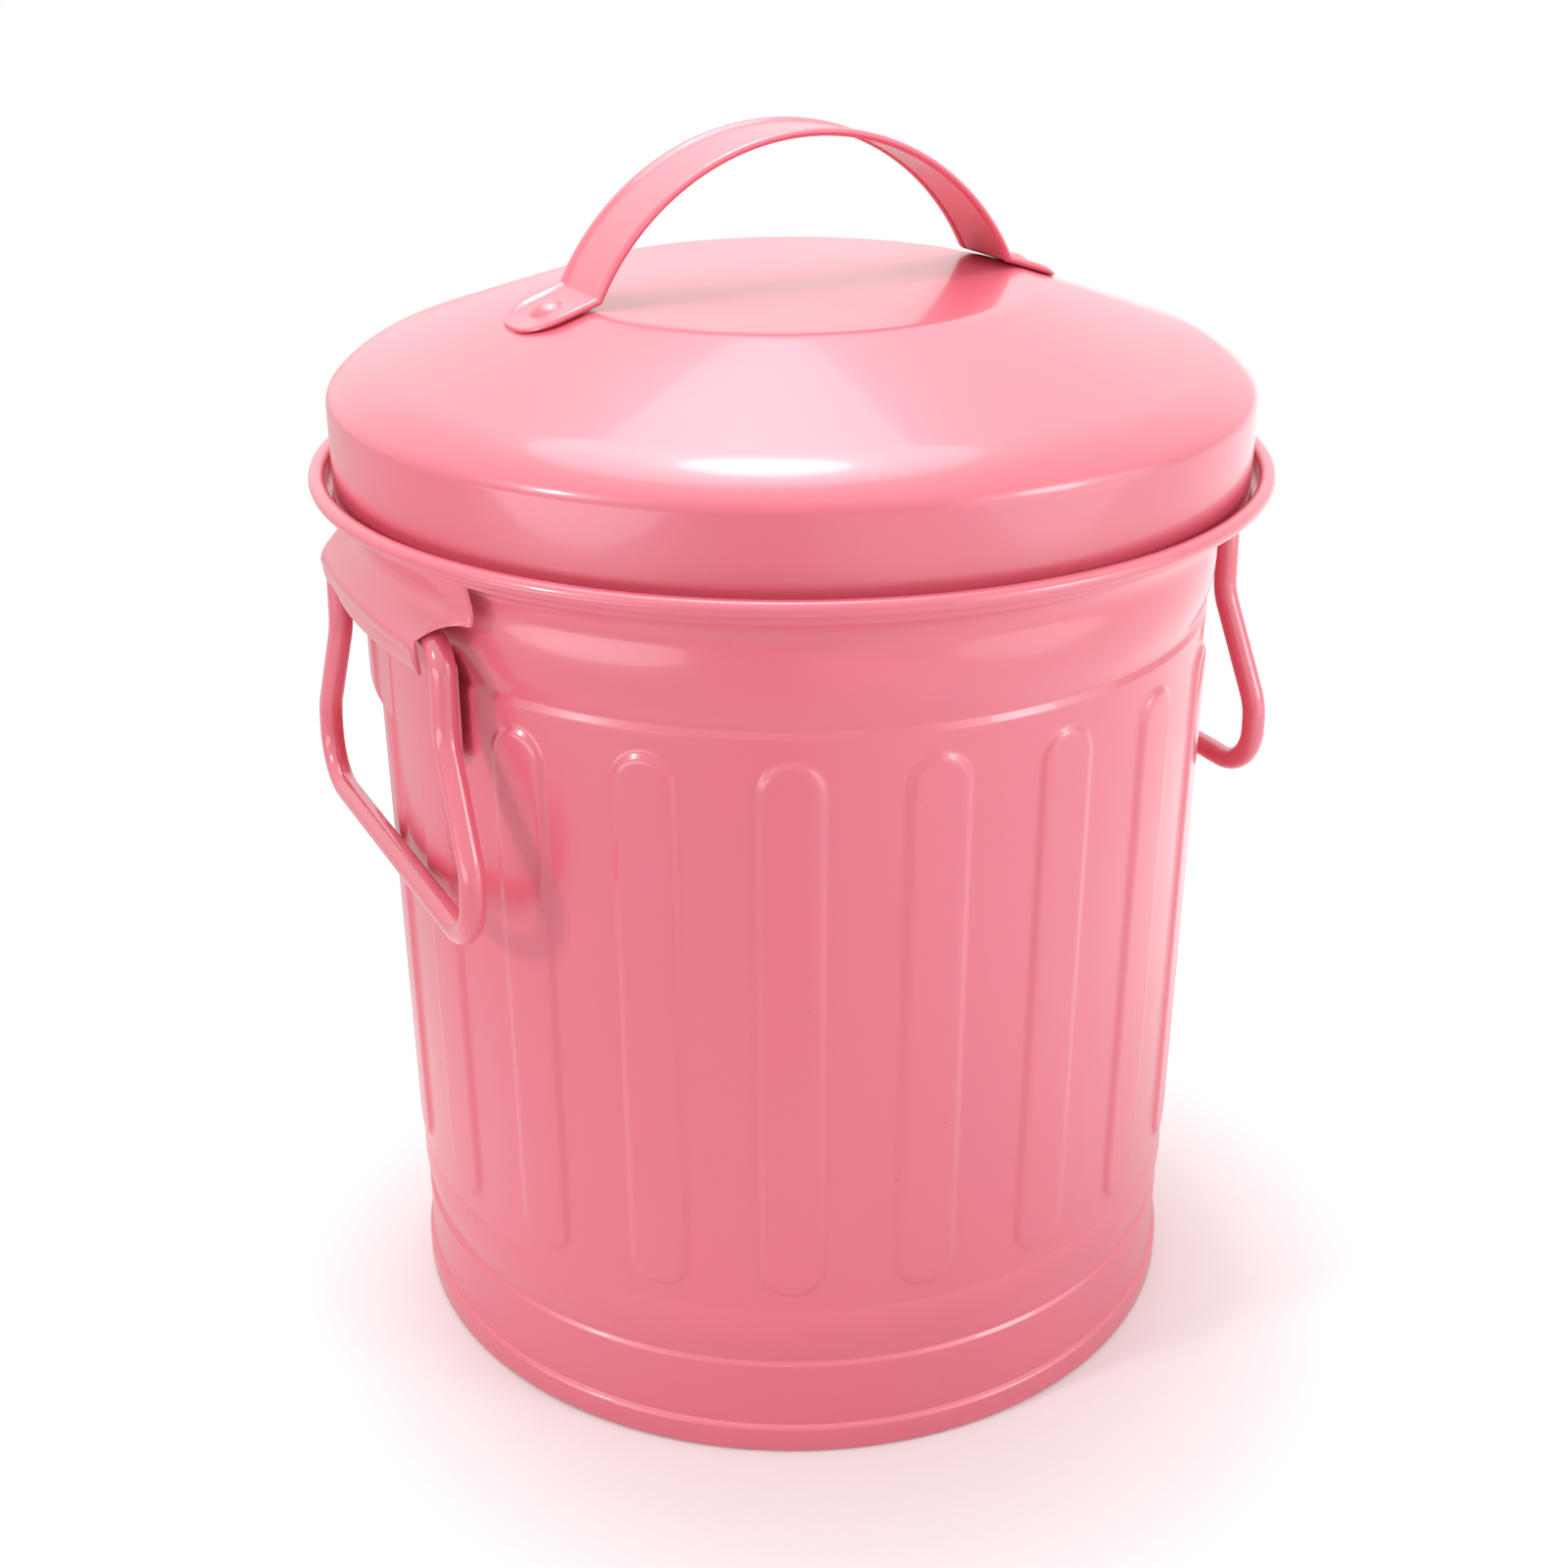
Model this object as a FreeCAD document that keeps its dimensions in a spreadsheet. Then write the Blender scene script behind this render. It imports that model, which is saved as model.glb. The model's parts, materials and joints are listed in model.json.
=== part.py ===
# Desktop trash can in painted sheet steel: a ribbed can, a lift-off lid with a strap handle, and drop handles.
# Millimetres, +Z up. The origin is on the can's axis where it stands, and the drop handles hang at +X and -X.
import FreeCAD
import Part
import Sketcher
import os

from FreeCAD import Placement, Rotation, Vector

# Driving sizes: name, value, what it is.
SIZES = (
    ("can_height", 144.3, "floor to the top of the rim bead"),
    ("wall_foot_radius", 65.0, "outside of the wall at its foot"),
    ("wall_top_radius", 66.0, "outside of the wall under the upper band"),
    ("wall_sheet", 0.6, "sheet of the can"),
    ("seam_swell", 0.7, "how far the bottom seam stands out past the wall"),
    ("seam_width", 3.0, "breadth of the bottom seam ring"),
    ("seam_height", 4.7, "height of the bottom seam ring"),
    ("seam_round", 0.6, "rounding of the seam ring"),
    ("ledge_height", 16.85, "floor to the ledge above the foot skirt"),
    ("ledge_depth", 0.5, "how far the ledge steps in"),
    ("ledge_rise", 0.6, "height of the ledge's slope"),
    ("low_band_height", 9.95, "height of the lower swelled band"),
    ("low_band_round", 25.0, "section radius of the lower band"),
    ("band_height", 11.9, "height of the upper swelled band"),
    ("band_swell", 0.5, "how far the upper band's top stands out past the wall"),
    ("band_round", 24.0, "section radius of the upper band"),
    ("groove_depth", 0.5, "depth of the groove under the upper band"),
    ("groove_rise", 1.0, "height of the groove's lower slope"),
    ("flare_radius", 5.7, "outside radius of the flare that seats the lid"),
    ("bead_radius", 1.25, "section radius of the rolled rim bead"),
    ("rim_depth", 3.3, "top of the bead down to the lid's seat"),
    ("rib_count", 20, "raised ribs round the wall"),
    ("rib_width", 9.0, "width of a rib"),
    ("rib_height", 0.7, "how far a rib stands out"),
    ("rib_draft", 30.0, "slope of a rib's sides, degrees"),
    ("rib_gap_low", 3.2, "plain wall between the lower band and the ribs"),
    ("rib_gap_high", 3.5, "plain wall between the ribs and the upper groove"),
    ("floor_sheet", 0.6, "sheet of the floor disc"),
    ("floor_clearance", 0.1, "gap between the floor disc and the wall"),
    ("floor_rim_width", 11.0, "flat rim of the floor disc"),
    ("floor_rise", 1.5, "how far the floor's middle is raised"),
    ("floor_slope", 3.0, "breadth of the slope round the raised middle"),
    ("lid_gap", 1.1, "gap between the lid's skirt and the rim bead"),
    ("lid_seat_gap", 0.1, "gap between the lid's skirt and its seat"),
    ("lid_height", 28.9, "lid's seat to its flat top"),
    ("lid_top_radius", 36.7, "radius of the lid's flat top"),
    ("lid_sheet", 0.6, "sheet of the lid"),
    ("cone_angle", 18.5, "fall of the lid's cone, degrees"),
    ("rounding_inset", 7.9, "lid's skirt in to where the cone begins to round over"),
    ("rounding_angle", 47, "fall of that rounding where it meets the shoulder, degrees"),
    ("shoulder_radius", 3.2, "outside radius of the lid's shoulder"),
    ("strap_width", 15.2, "width of the lid strap"),
    ("strap_sheet", 0.6, "sheet of the lid strap"),
    ("hem_width", 2.4, "width of the strap's folded hems"),
    ("arch_rise", 23.2, "flat top of the lid to the top of the strap"),
    ("bend_inset", 1.3, "edge of the lid's flat top in to the bend between the strap's arch and foot"),
    ("bend_room", 0.12, "extra room inside that bend"),
    ("foot_length", 8.8, "edge of the lid's flat top out to the tip of a strap foot"),
    ("foot_flat_gap", 2.2, "bend to the pressed flat of a strap foot"),
    ("foot_corner", 5.0, "rounding of a strap foot's corners"),
    ("rivet_offset", 3.2, "edge of the lid's flat top out to a lid rivet"),
    ("rivet_shank_radius", 1.2, "shank of a lid rivet"),
    ("rivet_clearance", 0.03, "gap between a rivet's shank and its hole"),
    ("rivet_head_radius", 2.6, "domed head of a lid rivet"),
    ("rivet_head_height", 1.1, "height of a rivet's head"),
    ("rivet_tail_radius", 2.2, "flat tail of a lid rivet under the lid"),
    ("rivet_tail_height", 0.6, "height of a rivet's tail"),
    ("rivet_tail_gap", 0.05, "gap between the tail and the curved inside of the lid"),
    ("wire_radius", 1.9, "wire of the drop handles"),
    ("grip_clearance", 0.15, "gap between a hanging handle and the circle round the ribs"),
    ("pin_clearance", 0.4, "gap between a handle's inturned ends and the upper band behind them"),
    ("pivot_drop", 11.0, "lid's seat down to the handles' pivots"),
    ("neck_half", 25.4, "middle of a handle to its upper legs"),
    ("pin_length", 9.4, "upper leg in to the tip of an inturned end"),
    ("neck_bend", 3.8, "bend from an inturned end into a leg"),
    ("grip_half", 35.0, "middle of a handle to its lower legs"),
    ("kink_high", 13.0, "pivot down to the upper kink"),
    ("grip_rise", 12.2, "grip bar up to the lower kink"),
    ("kink_radius", 9.0, "bend of both kinks"),
    ("handle_drop", 42.2, "pivot down to the grip bar"),
    ("grip_bend", 8.0, "bend from a leg into the grip bar"),
    ("plate_inset", 3.7, "a handle's upper leg in to the edge of an ear plate"),
    ("plate_round", 82.0, "outside radius of an ear plate, flatter than the wall"),
    ("plate_sheet", 0.5, "sheet of an ear plate"),
    ("plate_gap", 0.15, "gap between an ear plate and the ribs behind it"),
    ("plate_drop", 19.7, "pivot down to an ear plate's lower edge"),
    ("plate_head_gap", 0.7, "an ear plate's upper edge up to the handle's inturned ends"),
    ("plate_corner", 2.5, "rounding of an ear plate's corners"),
    ("arm_margin", 1.2, "a handle's upper leg out to the end of the hood's arm"),
    ("hood_sheet", 0.5, "sheet of an ear hood"),
    ("hood_inset", 2.3, "inside of the rim bead in to the hood's upper edge"),
    ("hood_gap", 0.1, "gap between the hood's upper edge and the flare above it"),
    ("hood_clearance", 1.1, "gap between the hood and the handle's inturned ends"),
    ("hood_crown", 1.1, "extra reach of the hood at its middle"),
    ("hood_end_reach", 3.6, "how far a hood's end swells"),
    ("hood_bulge_drop", 1.7, "pivot down to the hood's fullest height"),
    ("crease_rise", 5.0, "pivot up to the crease over the hood's bulge"),
    ("crease_gap", 0.5, "gap between that crease and the upper band, at the hood's middle"),
    ("strip_bend", 76, "bend of the hood's flat strip, flatter than the wall's"),
    ("lip_cover", 2.7, "a handle's inturned ends down to the hood's lip"),
    ("lip_tuck", 0.4, "how far the lip turns in at its middle"),
    ("lip_inset", 1.4, "a handle's upper leg in to the end of the hood's lip"),
    ("arm_clearance", 1.7, "a handle's inturned ends up to the lower edge of the hood's arms"),
    ("leg_cut_fullness", 0.59, "radius of the curved cut for a leg, as a share of the cut's breadth"),
)

# Sizes that follow from the driving ones.
DERIVED = (
    ("band_radius", "wall_top_radius + band_swell"),
    ("base_radius", "wall_foot_radius + seam_swell"),
    ("rim_inner_radius", "band_radius + flare_radius"),
    ("bead_centre_radius", "rim_inner_radius + bead_radius"),
    ("bead_height", "can_height - bead_radius"),
    ("seat_height", "can_height - rim_depth"),
    ("flare_height", "seat_height - wall_sheet - flare_radius"),
    ("flare_inner_radius", "flare_radius + wall_sheet"),
    ("band_bottom", "flare_height - band_height"),
    ("wall_top", "band_bottom - groove_rise"),
    ("wall_bottom", "ledge_height + low_band_height"),
    ("wall_taper", "atan((wall_top_radius - wall_foot_radius) / (wall_top - wall_bottom))"),
    ("rib_bottom", "wall_bottom + rib_gap_low"),
    ("rib_top", "wall_top - rib_gap_high"),
    ("rib_middle", "(rib_bottom + rib_top) / 2"),
    ("rib_middle_radius", "wall_foot_radius + (rib_middle - wall_bottom) * tan(wall_taper)"),
    ("rib_half_width", "rib_width / 2"),
    ("rib_half_length", "(rib_top - rib_bottom) / 2"),
    ("rib_root", "wall_sheet / 2"),
    ("rib_inset", "wall_sheet + rib_height * tan(rib_draft)"),
    ("rib_recess_height", "rib_middle_radius + rib_height - wall_sheet"),
    ("rib_recess_depth", "rib_height + 2 * wall_sheet"),
    ("floor_radius", "wall_foot_radius - wall_sheet - floor_clearance"),
    ("floor_step_radius", "floor_radius - floor_rim_width"),
    ("floor_panel_radius", "floor_step_radius - floor_slope"),
    ("floor_top", "seam_height + floor_sheet"),
    ("lid_skirt_radius", "rim_inner_radius - lid_gap"),
    ("lid_bottom", "seat_height + lid_seat_gap"),
    ("lid_top", "seat_height + lid_height"),
    ("lid_knee", "lid_sheet * tan(cone_angle / 2)"),
    ("lid_sheet_in", "lid_sheet * sin(cone_angle)"),
    ("lid_sheet_down", "lid_sheet * cos(cone_angle)"),
    ("cone_end_radius", "lid_skirt_radius - rounding_inset"),
    ("cone_end", "lid_top - (cone_end_radius - lid_top_radius) * tan(cone_angle)"),
    ("rounding_end_radius", "lid_skirt_radius - shoulder_radius * (1 - sin(rounding_angle))"),
    ("rounding_radius", "(rounding_end_radius - cone_end_radius) / (sin(rounding_angle) - sin(cone_angle))"),
    ("rounding_end", "cone_end - rounding_radius * (cos(cone_angle) - cos(rounding_angle))"),
    ("rounding_inner_radius", "rounding_radius - lid_sheet"),
    ("rounding_sheet_in", "lid_sheet * sin(rounding_angle)"),
    ("rounding_sheet_down", "lid_sheet * cos(rounding_angle)"),
    ("shoulder_bottom", "rounding_end - shoulder_radius * cos(rounding_angle)"),
    ("shoulder_inner_radius", "shoulder_radius - lid_sheet"),
    ("arch_half", "lid_top_radius - bend_inset"),
    ("foot_reach", "lid_top_radius + foot_length"),
    ("rivet_reach", "lid_top_radius + rivet_offset"),
    ("strap_thick", "2 * strap_sheet"),
    ("strap_rise", "strap_thick / cos(cone_angle)"),
    ("strap_sheet_rise", "strap_sheet / cos(cone_angle)"),
    ("tip_out", "strap_thick * sin(cone_angle)"),
    ("tip_up", "strap_thick * cos(cone_angle)"),
    ("tip_height", "lid_top - (foot_reach - lid_top_radius) * tan(cone_angle)"),
    ("bend_height", "lid_top - (arch_half - lid_top_radius) * tan(cone_angle)"),
    ("bend_inner_half", "arch_half - strap_thick - bend_room"),
    ("bend_inner_height", "lid_top - (bend_inner_half - lid_top_radius) * tan(cone_angle)"),
    ("hem_half", "(arch_half + bend_inner_half) / 2"),
    ("hem_height", "(bend_height + strap_rise + bend_inner_height) / 2"),
    ("arch_top", "lid_top + arch_rise"),
    ("foot_flat", "arch_half + foot_flat_gap"),
    ("foot_flat_height", "bend_height - foot_flat_gap * tan(cone_angle) + strap_sheet_rise"),
    ("foot_past", "foot_reach + 2 * strap_thick"),
    ("foot_past_height", "lid_top - (foot_past - lid_top_radius) * tan(cone_angle) + strap_sheet_rise"),
    ("strap_flat", "strap_width - 2 * hem_width"),
    ("rivet_height", "lid_top - (rivet_reach - lid_top_radius) * tan(cone_angle)"),
    ("rivet_hole_radius", "rivet_shank_radius + rivet_clearance"),
    ("rivet_hole_length", "4 * (strap_thick + lid_sheet)"),
    ("rivet_grip", "lid_sheet + rivet_tail_gap"),
    ("rivet_dome_radius", "(pow(rivet_head_radius; 2) + pow(rivet_head_height; 2)) / (2 * rivet_head_height)"),
    ("pivot_height", "seat_height - pivot_drop"),
    ("grip_height", "pivot_height - handle_drop"),
    ("pin_inner", "neck_half - pin_length"),
    ("plate_half", "neck_half - plate_inset"),
    ("plate_bottom", "pivot_height - plate_drop"),
    ("plate_wall_radius", "wall_foot_radius + (plate_bottom - wall_bottom) * tan(wall_taper)"),
    ("band_bulge", "band_round - sqrt(pow(band_round; 2) - pow(band_height / 2; 2))"),
    ("band_reach", "(wall_top_radius - groove_depth + band_radius) / 2 + band_bulge"),
    ("ribs_reach", "max(wall_top_radius; plate_wall_radius) + rib_height"),
    ("plate_inner_radius", "max(ribs_reach; band_reach) + plate_gap"),
    ("plate_outer_radius", "plate_inner_radius + plate_sheet"),
    ("plate_axis", "plate_outer_radius - plate_round"),
    ("plate_angle", "2 * asin(plate_half / plate_round)"),
    ("plate_top", "pivot_height - wire_radius - plate_head_gap"),
    ("pivot_radius", "sqrt(pow(band_reach; 2) - pow(pin_inner; 2)) + pin_clearance + wire_radius"),
    ("grip_wall_radius", "wall_foot_radius + (grip_height - wall_bottom) * tan(wall_taper)"),
    ("grip_seat_radius", "grip_wall_radius + rib_height + grip_clearance + wire_radius"),
    ("hang_tilt", "asin(max(0; grip_seat_radius - pivot_radius) / handle_drop)"),
    ("kink_low", "handle_drop - grip_rise"),
    ("slant", "atan((grip_half - neck_half) / (kink_low - kink_high))"),
    ("kink_cut", "kink_radius * tan(slant / 2)"),
    ("kink_across", "kink_cut * sin(slant)"),
    ("kink_along", "kink_cut * cos(slant)"),
    ("hood_half", "neck_half + wire_radius + arm_margin"),
    ("hood_top_radius", "rim_inner_radius - hood_inset"),
    ("hood_top", "flare_height - hood_gap + sqrt(pow(flare_radius; 2) - pow(hood_inset + hood_sheet; 2))"),
    ("hood_bulge_height", "pivot_height - hood_bulge_drop"),
    ("crease_height", "pivot_height + crease_rise"),
    ("crease_radius", "band_radius + crease_gap + hood_sheet"),
    ("hood_pin_reach", "pivot_radius + wire_radius + hood_clearance + hood_sheet"),
    ("lip_half", "neck_half - wire_radius - lip_inset"),
    ("lip_height", "pivot_height - wire_radius - lip_cover"),
    ("arm_height", "pivot_height + wire_radius + arm_clearance"),
    ("leg_cut_span", "sqrt(pow(hood_half - lip_half; 2) + pow(arm_height - lip_height; 2))"),
    ("leg_cut_radius", "leg_cut_fullness * leg_cut_span"),
    ("leg_cut_past", "2 * hood_half"),
)

# Hood sections from its middle to its end: share of the half width, reach, and how far the lip turns in.
HOOD_SECTIONS = (
    (0.0, "hood_pin_reach + hood_crown", "lip_tuck"),
    (0.34, "hood_pin_reach + 0.75 * hood_crown", "1.3 * lip_tuck"),
    (0.67, "hood_pin_reach", "2 * lip_tuck"),
    (0.83, "hood_pin_reach", "lip_tuck"),
    (1.0, "hood_top_reach_4 + hood_end_reach", "lip_tuck"),
)

doc = FreeCAD.newDocument("desktop_trash_can")
dims = doc.addObject("Spreadsheet::Sheet", "dims")
parts = []


def fill_sheet():
    """Write the driving sizes, the sizes that follow from them and the hood's sections into the sheet."""
    rows = [(name, str(size), note) for name, size, note in SIZES]
    rows += [(name, "=" + formula, "") for name, formula in DERIVED]
    for place, (share, reach, tuck) in reversed(list(enumerate(HOOD_SECTIONS))):
        fall = f"strip_bend + sqrt(pow(strip_bend; 2) - pow(hood_offset_{place}; 2))"
        rows.append((f"hood_offset_{place}", f"={share} * hood_half", ""))
        rows.append((f"hood_top_reach_{place}", f"=hood_top_radius - {fall}", ""))
        rows.append((f"hood_crease_reach_{place}", f"=crease_radius - {fall}", ""))
        rows.append((f"hood_bulge_reach_{place}", "=" + reach, ""))
        rows.append((f"hood_lip_reach_{place}", f"=hood_bulge_reach_{place} - {tuck}", ""))
    for row, (name, content, note) in enumerate(rows, start=1):
        dims.set(f"A{row}", name)
        dims.set(f"B{row}", content)
        dims.setAlias(f"B{row}", name)
        dims.set(f"C{row}", note)
    doc.recompute()


def terms(expression):
    """Split a sum of size names into (sign, name) pairs."""
    sign = 1
    for word in expression.split():
        if word in "+-":
            sign = 1 if word == "+" else -1
        else:
            yield sign, word


def number(expression):
    """Value of a sum of size names, for a sketch's first guess."""
    return sum(sign * (0.0 if word == "0" else float(dims.get(word))) for sign, word in terms(expression))


def bound(expression):
    """The same sum as an expression on the sheet."""
    return " ".join(("+ " if sign > 0 else "- ") + (word if word == "0" else "dims." + word)
                    for sign, word in terms(expression)).removeprefix("+ ")


def bind(thing, **expressions):
    """Bind properties of a feature to the sheet; a double underscore stands for a dot."""
    for key, expression in expressions.items():
        thing.setExpression(key.replace("__", "."), bound(expression))


def origin_feature(body, role):
    """Plane or axis of a body's own origin."""
    return next(feature for feature in body.Origin.OriginFeatures if feature.Role == role)


def new_body(name):
    """Empty body for one piece, listed for export under its label."""
    body = doc.addObject("PartDesign::Body", name)
    body.Label = name
    parts.append(body)
    return body


def new_sketch(body, name, plane, offset=(), tilt=None):
    """Sketch on an origin plane; offset holds three sums, and tilt an axis and a sum for the angle."""
    sketch = body.newObject("Sketcher::SketchObject", f"{body.Name}_{name}")
    sketch.AttachmentSupport = [(origin_feature(body, plane), "")]
    sketch.MapMode = "FlatFace"
    if tilt:
        sketch.AttachmentOffset = Placement(Vector(), Rotation(tilt[0], 1))
        sketch.setExpression("AttachmentOffset.Rotation.Angle", bound(tilt[1]))
    for axis, expression in zip("xyz", offset):
        if expression != "0":
            sketch.setExpression(f"AttachmentOffset.Base.{axis}", bound(expression))
    return sketch


def pin_point(sketch, geometry, place, across, up):
    """Hold one point of a sketch at two sums of sizes from the sketch's origin."""
    for kind, expression in (("DistanceX", across), ("DistanceY", up)):
        index = sketch.addConstraint(Sketcher.Constraint(kind, -1, 1, geometry, place, number(expression)))
        sketch.setExpression(f"Constraints[{index}]", bound(expression))


def arc_middle(start, end, radius, turn):
    """Middle of the short arc from start to end; turn is 1 to the left and -1 to the right."""
    half = (end - start) * 0.5
    sagitta = radius - max(radius * radius - half.Length ** 2, 0.0) ** 0.5
    return start + half + Vector(half.y, -half.x).normalize() * sagitta * turn


def draw(sketch, corners, closed=True):
    """Outline through corners of two sums each; a third entry bends the edge that leaves that corner.

    The bend is ("through", across, up) for an arc by way of a point, or ("round", radius, turn).
    """
    points = [Vector(number(corner[0]), number(corner[1])) for corner in corners]
    count = len(corners) if closed else len(corners) - 1
    ends = []
    for place in range(count):
        start, end = points[place], points[(place + 1) % len(points)]
        bend = corners[place][2] if len(corners[place]) > 2 else None
        if bend is None:
            geometry = sketch.addGeometry(Part.LineSegment(start, end))
        elif bend[0] == "through":
            way = Vector(number(bend[1]), number(bend[2]))
            geometry = sketch.addGeometry(Part.Arc(start, way, end))
            spot = sketch.addGeometry(Part.Point(way), True)
            pin_point(sketch, spot, 1, bend[1], bend[2])
            sketch.addConstraint(Sketcher.Constraint("PointOnObject", spot, 1, geometry))
        else:
            way = arc_middle(start, end, number(bend[1]), bend[2])
            geometry = sketch.addGeometry(Part.Arc(start, way, end))
            index = sketch.addConstraint(Sketcher.Constraint("Radius", geometry, number(bend[1])))
            sketch.setExpression(f"Constraints[{index}]", bound(bend[1]))
        forward = (sketch.getPoint(geometry, 1) - start).Length < (sketch.getPoint(geometry, 2) - start).Length
        ends.append((geometry, 1, 2) if forward else (geometry, 2, 1))
    for place, (geometry, first, last) in enumerate(ends):
        pin_point(sketch, geometry, first, *corners[place][:2])
        following = ends[(place + 1) % count]
        if closed or place + 1 < count:
            sketch.addConstraint(Sketcher.Constraint("Coincident", geometry, last, following[0], following[1]))
        else:
            pin_point(sketch, geometry, last, *corners[-1][:2])


def draw_circle(sketch, radius):
    """Circle about a sketch's origin."""
    geometry = sketch.addGeometry(Part.Circle(Vector(), Vector(0, 0, 1), number(radius)))
    sketch.addConstraint(Sketcher.Constraint("Coincident", geometry, 3, -1, 1))
    index = sketch.addConstraint(Sketcher.Constraint("Radius", geometry, number(radius)))
    sketch.setExpression(f"Constraints[{index}]", bound(radius))


def draw_obround(sketch, half_width, half_length):
    """Upright slot shape about a sketch's origin."""
    neck = f"{half_length} - {half_width}"
    low = " ".join(("- " if sign > 0 else "+ ") + word for sign, word in terms(neck))
    bottom = " ".join(("- " if sign > 0 else "+ ") + word for sign, word in terms(half_length))
    side = " ".join(("- " if sign > 0 else "+ ") + word for sign, word in terms(half_width))
    draw(sketch, [(half_width, low),
                  (half_width, neck, ("through", "0", half_length)),
                  (side, neck),
                  (side, low, ("through", "0", bottom))])


def revolve(body, sketch, angle=None):
    """Turn a sketch about the body's upright axis, all round or evenly to both sides by a bound angle."""
    feature = body.newObject("PartDesign::Revolution", f"{body.Name}_turned")
    feature.Profile = sketch
    feature.ReferenceAxis = (sketch, ["V_Axis"])
    feature.Angle = 360
    if angle:
        feature.Midplane = True
        bind(feature, Angle=angle)
    return feature


def pad_even(body, sketch, width):
    """Extrude a sketch evenly to both sides."""
    feature = body.newObject("PartDesign::Pad", f"{sketch.Name}_pad")
    feature.Profile = sketch
    feature.SideType = "Symmetric"
    bind(feature, Length=width)
    return feature


def cut(body, sketch, length=None, even=False, reverse=False):
    """Pocket a sketch, all through or by a bound length, and check that it takes material away."""
    before = body.Shape.Volume
    feature = body.newObject("PartDesign::Pocket", f"{sketch.Name}_cut")
    feature.Profile = sketch
    feature.Reversed = reverse
    if length:
        bind(feature, Length=length)
    else:
        feature.Type = "ThroughAll"
    if even:
        feature.SideType = "Symmetric"
    doc.recompute()
    if not body.Shape.Volume < before:
        raise RuntimeError(f"{feature.Name} cuts nothing")
    return feature


def repeat(body, features, count):
    """Repeat features evenly about the body's upright axis."""
    pattern = body.newObject("PartDesign::PolarPattern", f"{features[0].Name}_ring")
    pattern.Originals = features
    pattern.Axis = (origin_feature(body, "Z_Axis"), [""])
    pattern.Angle = 360
    if count.isdigit():
        pattern.Occurrences = int(count)
    else:
        bind(pattern, Occurrences=count)
    body.Tip = pattern
    doc.recompute()
    return pattern


def round_edges(body, radius, chosen):
    """Fillet the edges of a body's tip that a test on their middle points chooses."""
    doc.recompute()
    base = body.Tip
    names = [f"Edge{place}" for place, edge in enumerate(base.Shape.Edges, start=1)
             if chosen(edge, edge.valueAt((edge.FirstParameter + edge.LastParameter) / 2))]
    feature = body.newObject("PartDesign::Fillet", f"{body.Name}_rounding")
    feature.Base = (base, names)
    bind(feature, Radius=radius)
    doc.recompute()


def make_can_wall():
    """Sheet wall: seam ring, foot skirt, ledge, lower band, wall, groove, upper band, flare and rim bead."""
    body = new_body("can_wall")
    section = new_sketch(body, "section", "XZ_Plane")
    draw(section, [
        ("base_radius - seam_width", "0"),
        ("base_radius - seam_round", "0", ("round", "seam_round", 1)),
        ("base_radius", "seam_round"),
        ("base_radius", "seam_height - seam_round", ("round", "seam_round", 1)),
        ("base_radius - seam_round", "seam_height"),
        ("wall_foot_radius", "seam_height + seam_round"),
        ("wall_foot_radius", "ledge_height - ledge_rise"),
        ("wall_foot_radius - ledge_depth", "ledge_height", ("round", "low_band_round", 1)),
        ("wall_foot_radius", "wall_bottom"),
        ("wall_top_radius", "wall_top"),
        ("wall_top_radius - groove_depth", "band_bottom", ("round", "band_round", 1)),
        ("band_radius", "flare_height", ("round", "flare_radius", -1)),
        ("rim_inner_radius", "seat_height - wall_sheet"),
        ("bead_centre_radius", "bead_height - bead_radius",
         ("through", "bead_centre_radius + bead_radius", "bead_height")),
        ("bead_centre_radius", "can_height", ("round", "bead_radius", 1)),
        ("rim_inner_radius", "bead_height"),
        ("rim_inner_radius", "seat_height", ("round", "flare_inner_radius", 1)),
        ("band_radius - wall_sheet", "flare_height", ("round", "band_round", -1)),
        ("wall_top_radius - groove_depth - wall_sheet", "band_bottom"),
        ("wall_top_radius - wall_sheet", "wall_top"),
        ("wall_foot_radius - wall_sheet", "wall_bottom", ("round", "low_band_round", -1)),
        ("wall_foot_radius - ledge_depth - wall_sheet", "ledge_height"),
        ("wall_foot_radius - wall_sheet", "ledge_height - ledge_rise"),
        ("wall_foot_radius - wall_sheet", "seam_height"),
        ("base_radius - seam_width", "seam_height"),
    ])
    revolve(body, section)
    lean = (Vector(1, 0, 0), "wall_taper")
    raised = new_sketch(body, "rib", "YZ_Plane", ("0", "rib_middle", "rib_middle_radius"), lean)
    draw_obround(raised, "rib_half_width", "rib_half_length")
    rib = body.newObject("PartDesign::Pad", "can_wall_rib_pad")
    rib.Profile = raised
    rib.SideType = "Two sides"
    bind(rib, Length="rib_height", Length2="rib_root")
    rib.setExpression("TaperAngle", "-dims.rib_draft")
    doc.recompute()
    hollow = new_sketch(body, "rib_recess", "YZ_Plane", ("0", "rib_middle", "rib_recess_height"), lean)
    draw_obround(hollow, "rib_half_width - rib_inset", "rib_half_length - rib_inset")
    recess = cut(body, hollow, length="rib_recess_depth")
    repeat(body, [rib, recess], "rib_count")
    body.Placement = Placement(Vector(), Rotation(Vector(0, 0, 1), 1))
    body.setExpression("Placement.Rotation.Angle", "180 / dims.rib_count")


def make_can_floor():
    """Pressed disc with a raised middle, lying on the seam ring."""
    body = new_body("can_floor")
    section = new_sketch(body, "section", "XZ_Plane")
    draw(section, [
        ("0", "seam_height + floor_rise"),
        ("floor_panel_radius", "seam_height + floor_rise"),
        ("floor_step_radius", "seam_height"),
        ("floor_radius", "seam_height"),
        ("floor_radius", "floor_top"),
        ("floor_step_radius", "floor_top"),
        ("floor_panel_radius", "floor_top + floor_rise"),
        ("0", "floor_top + floor_rise"),
    ])
    revolve(body, section)


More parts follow.
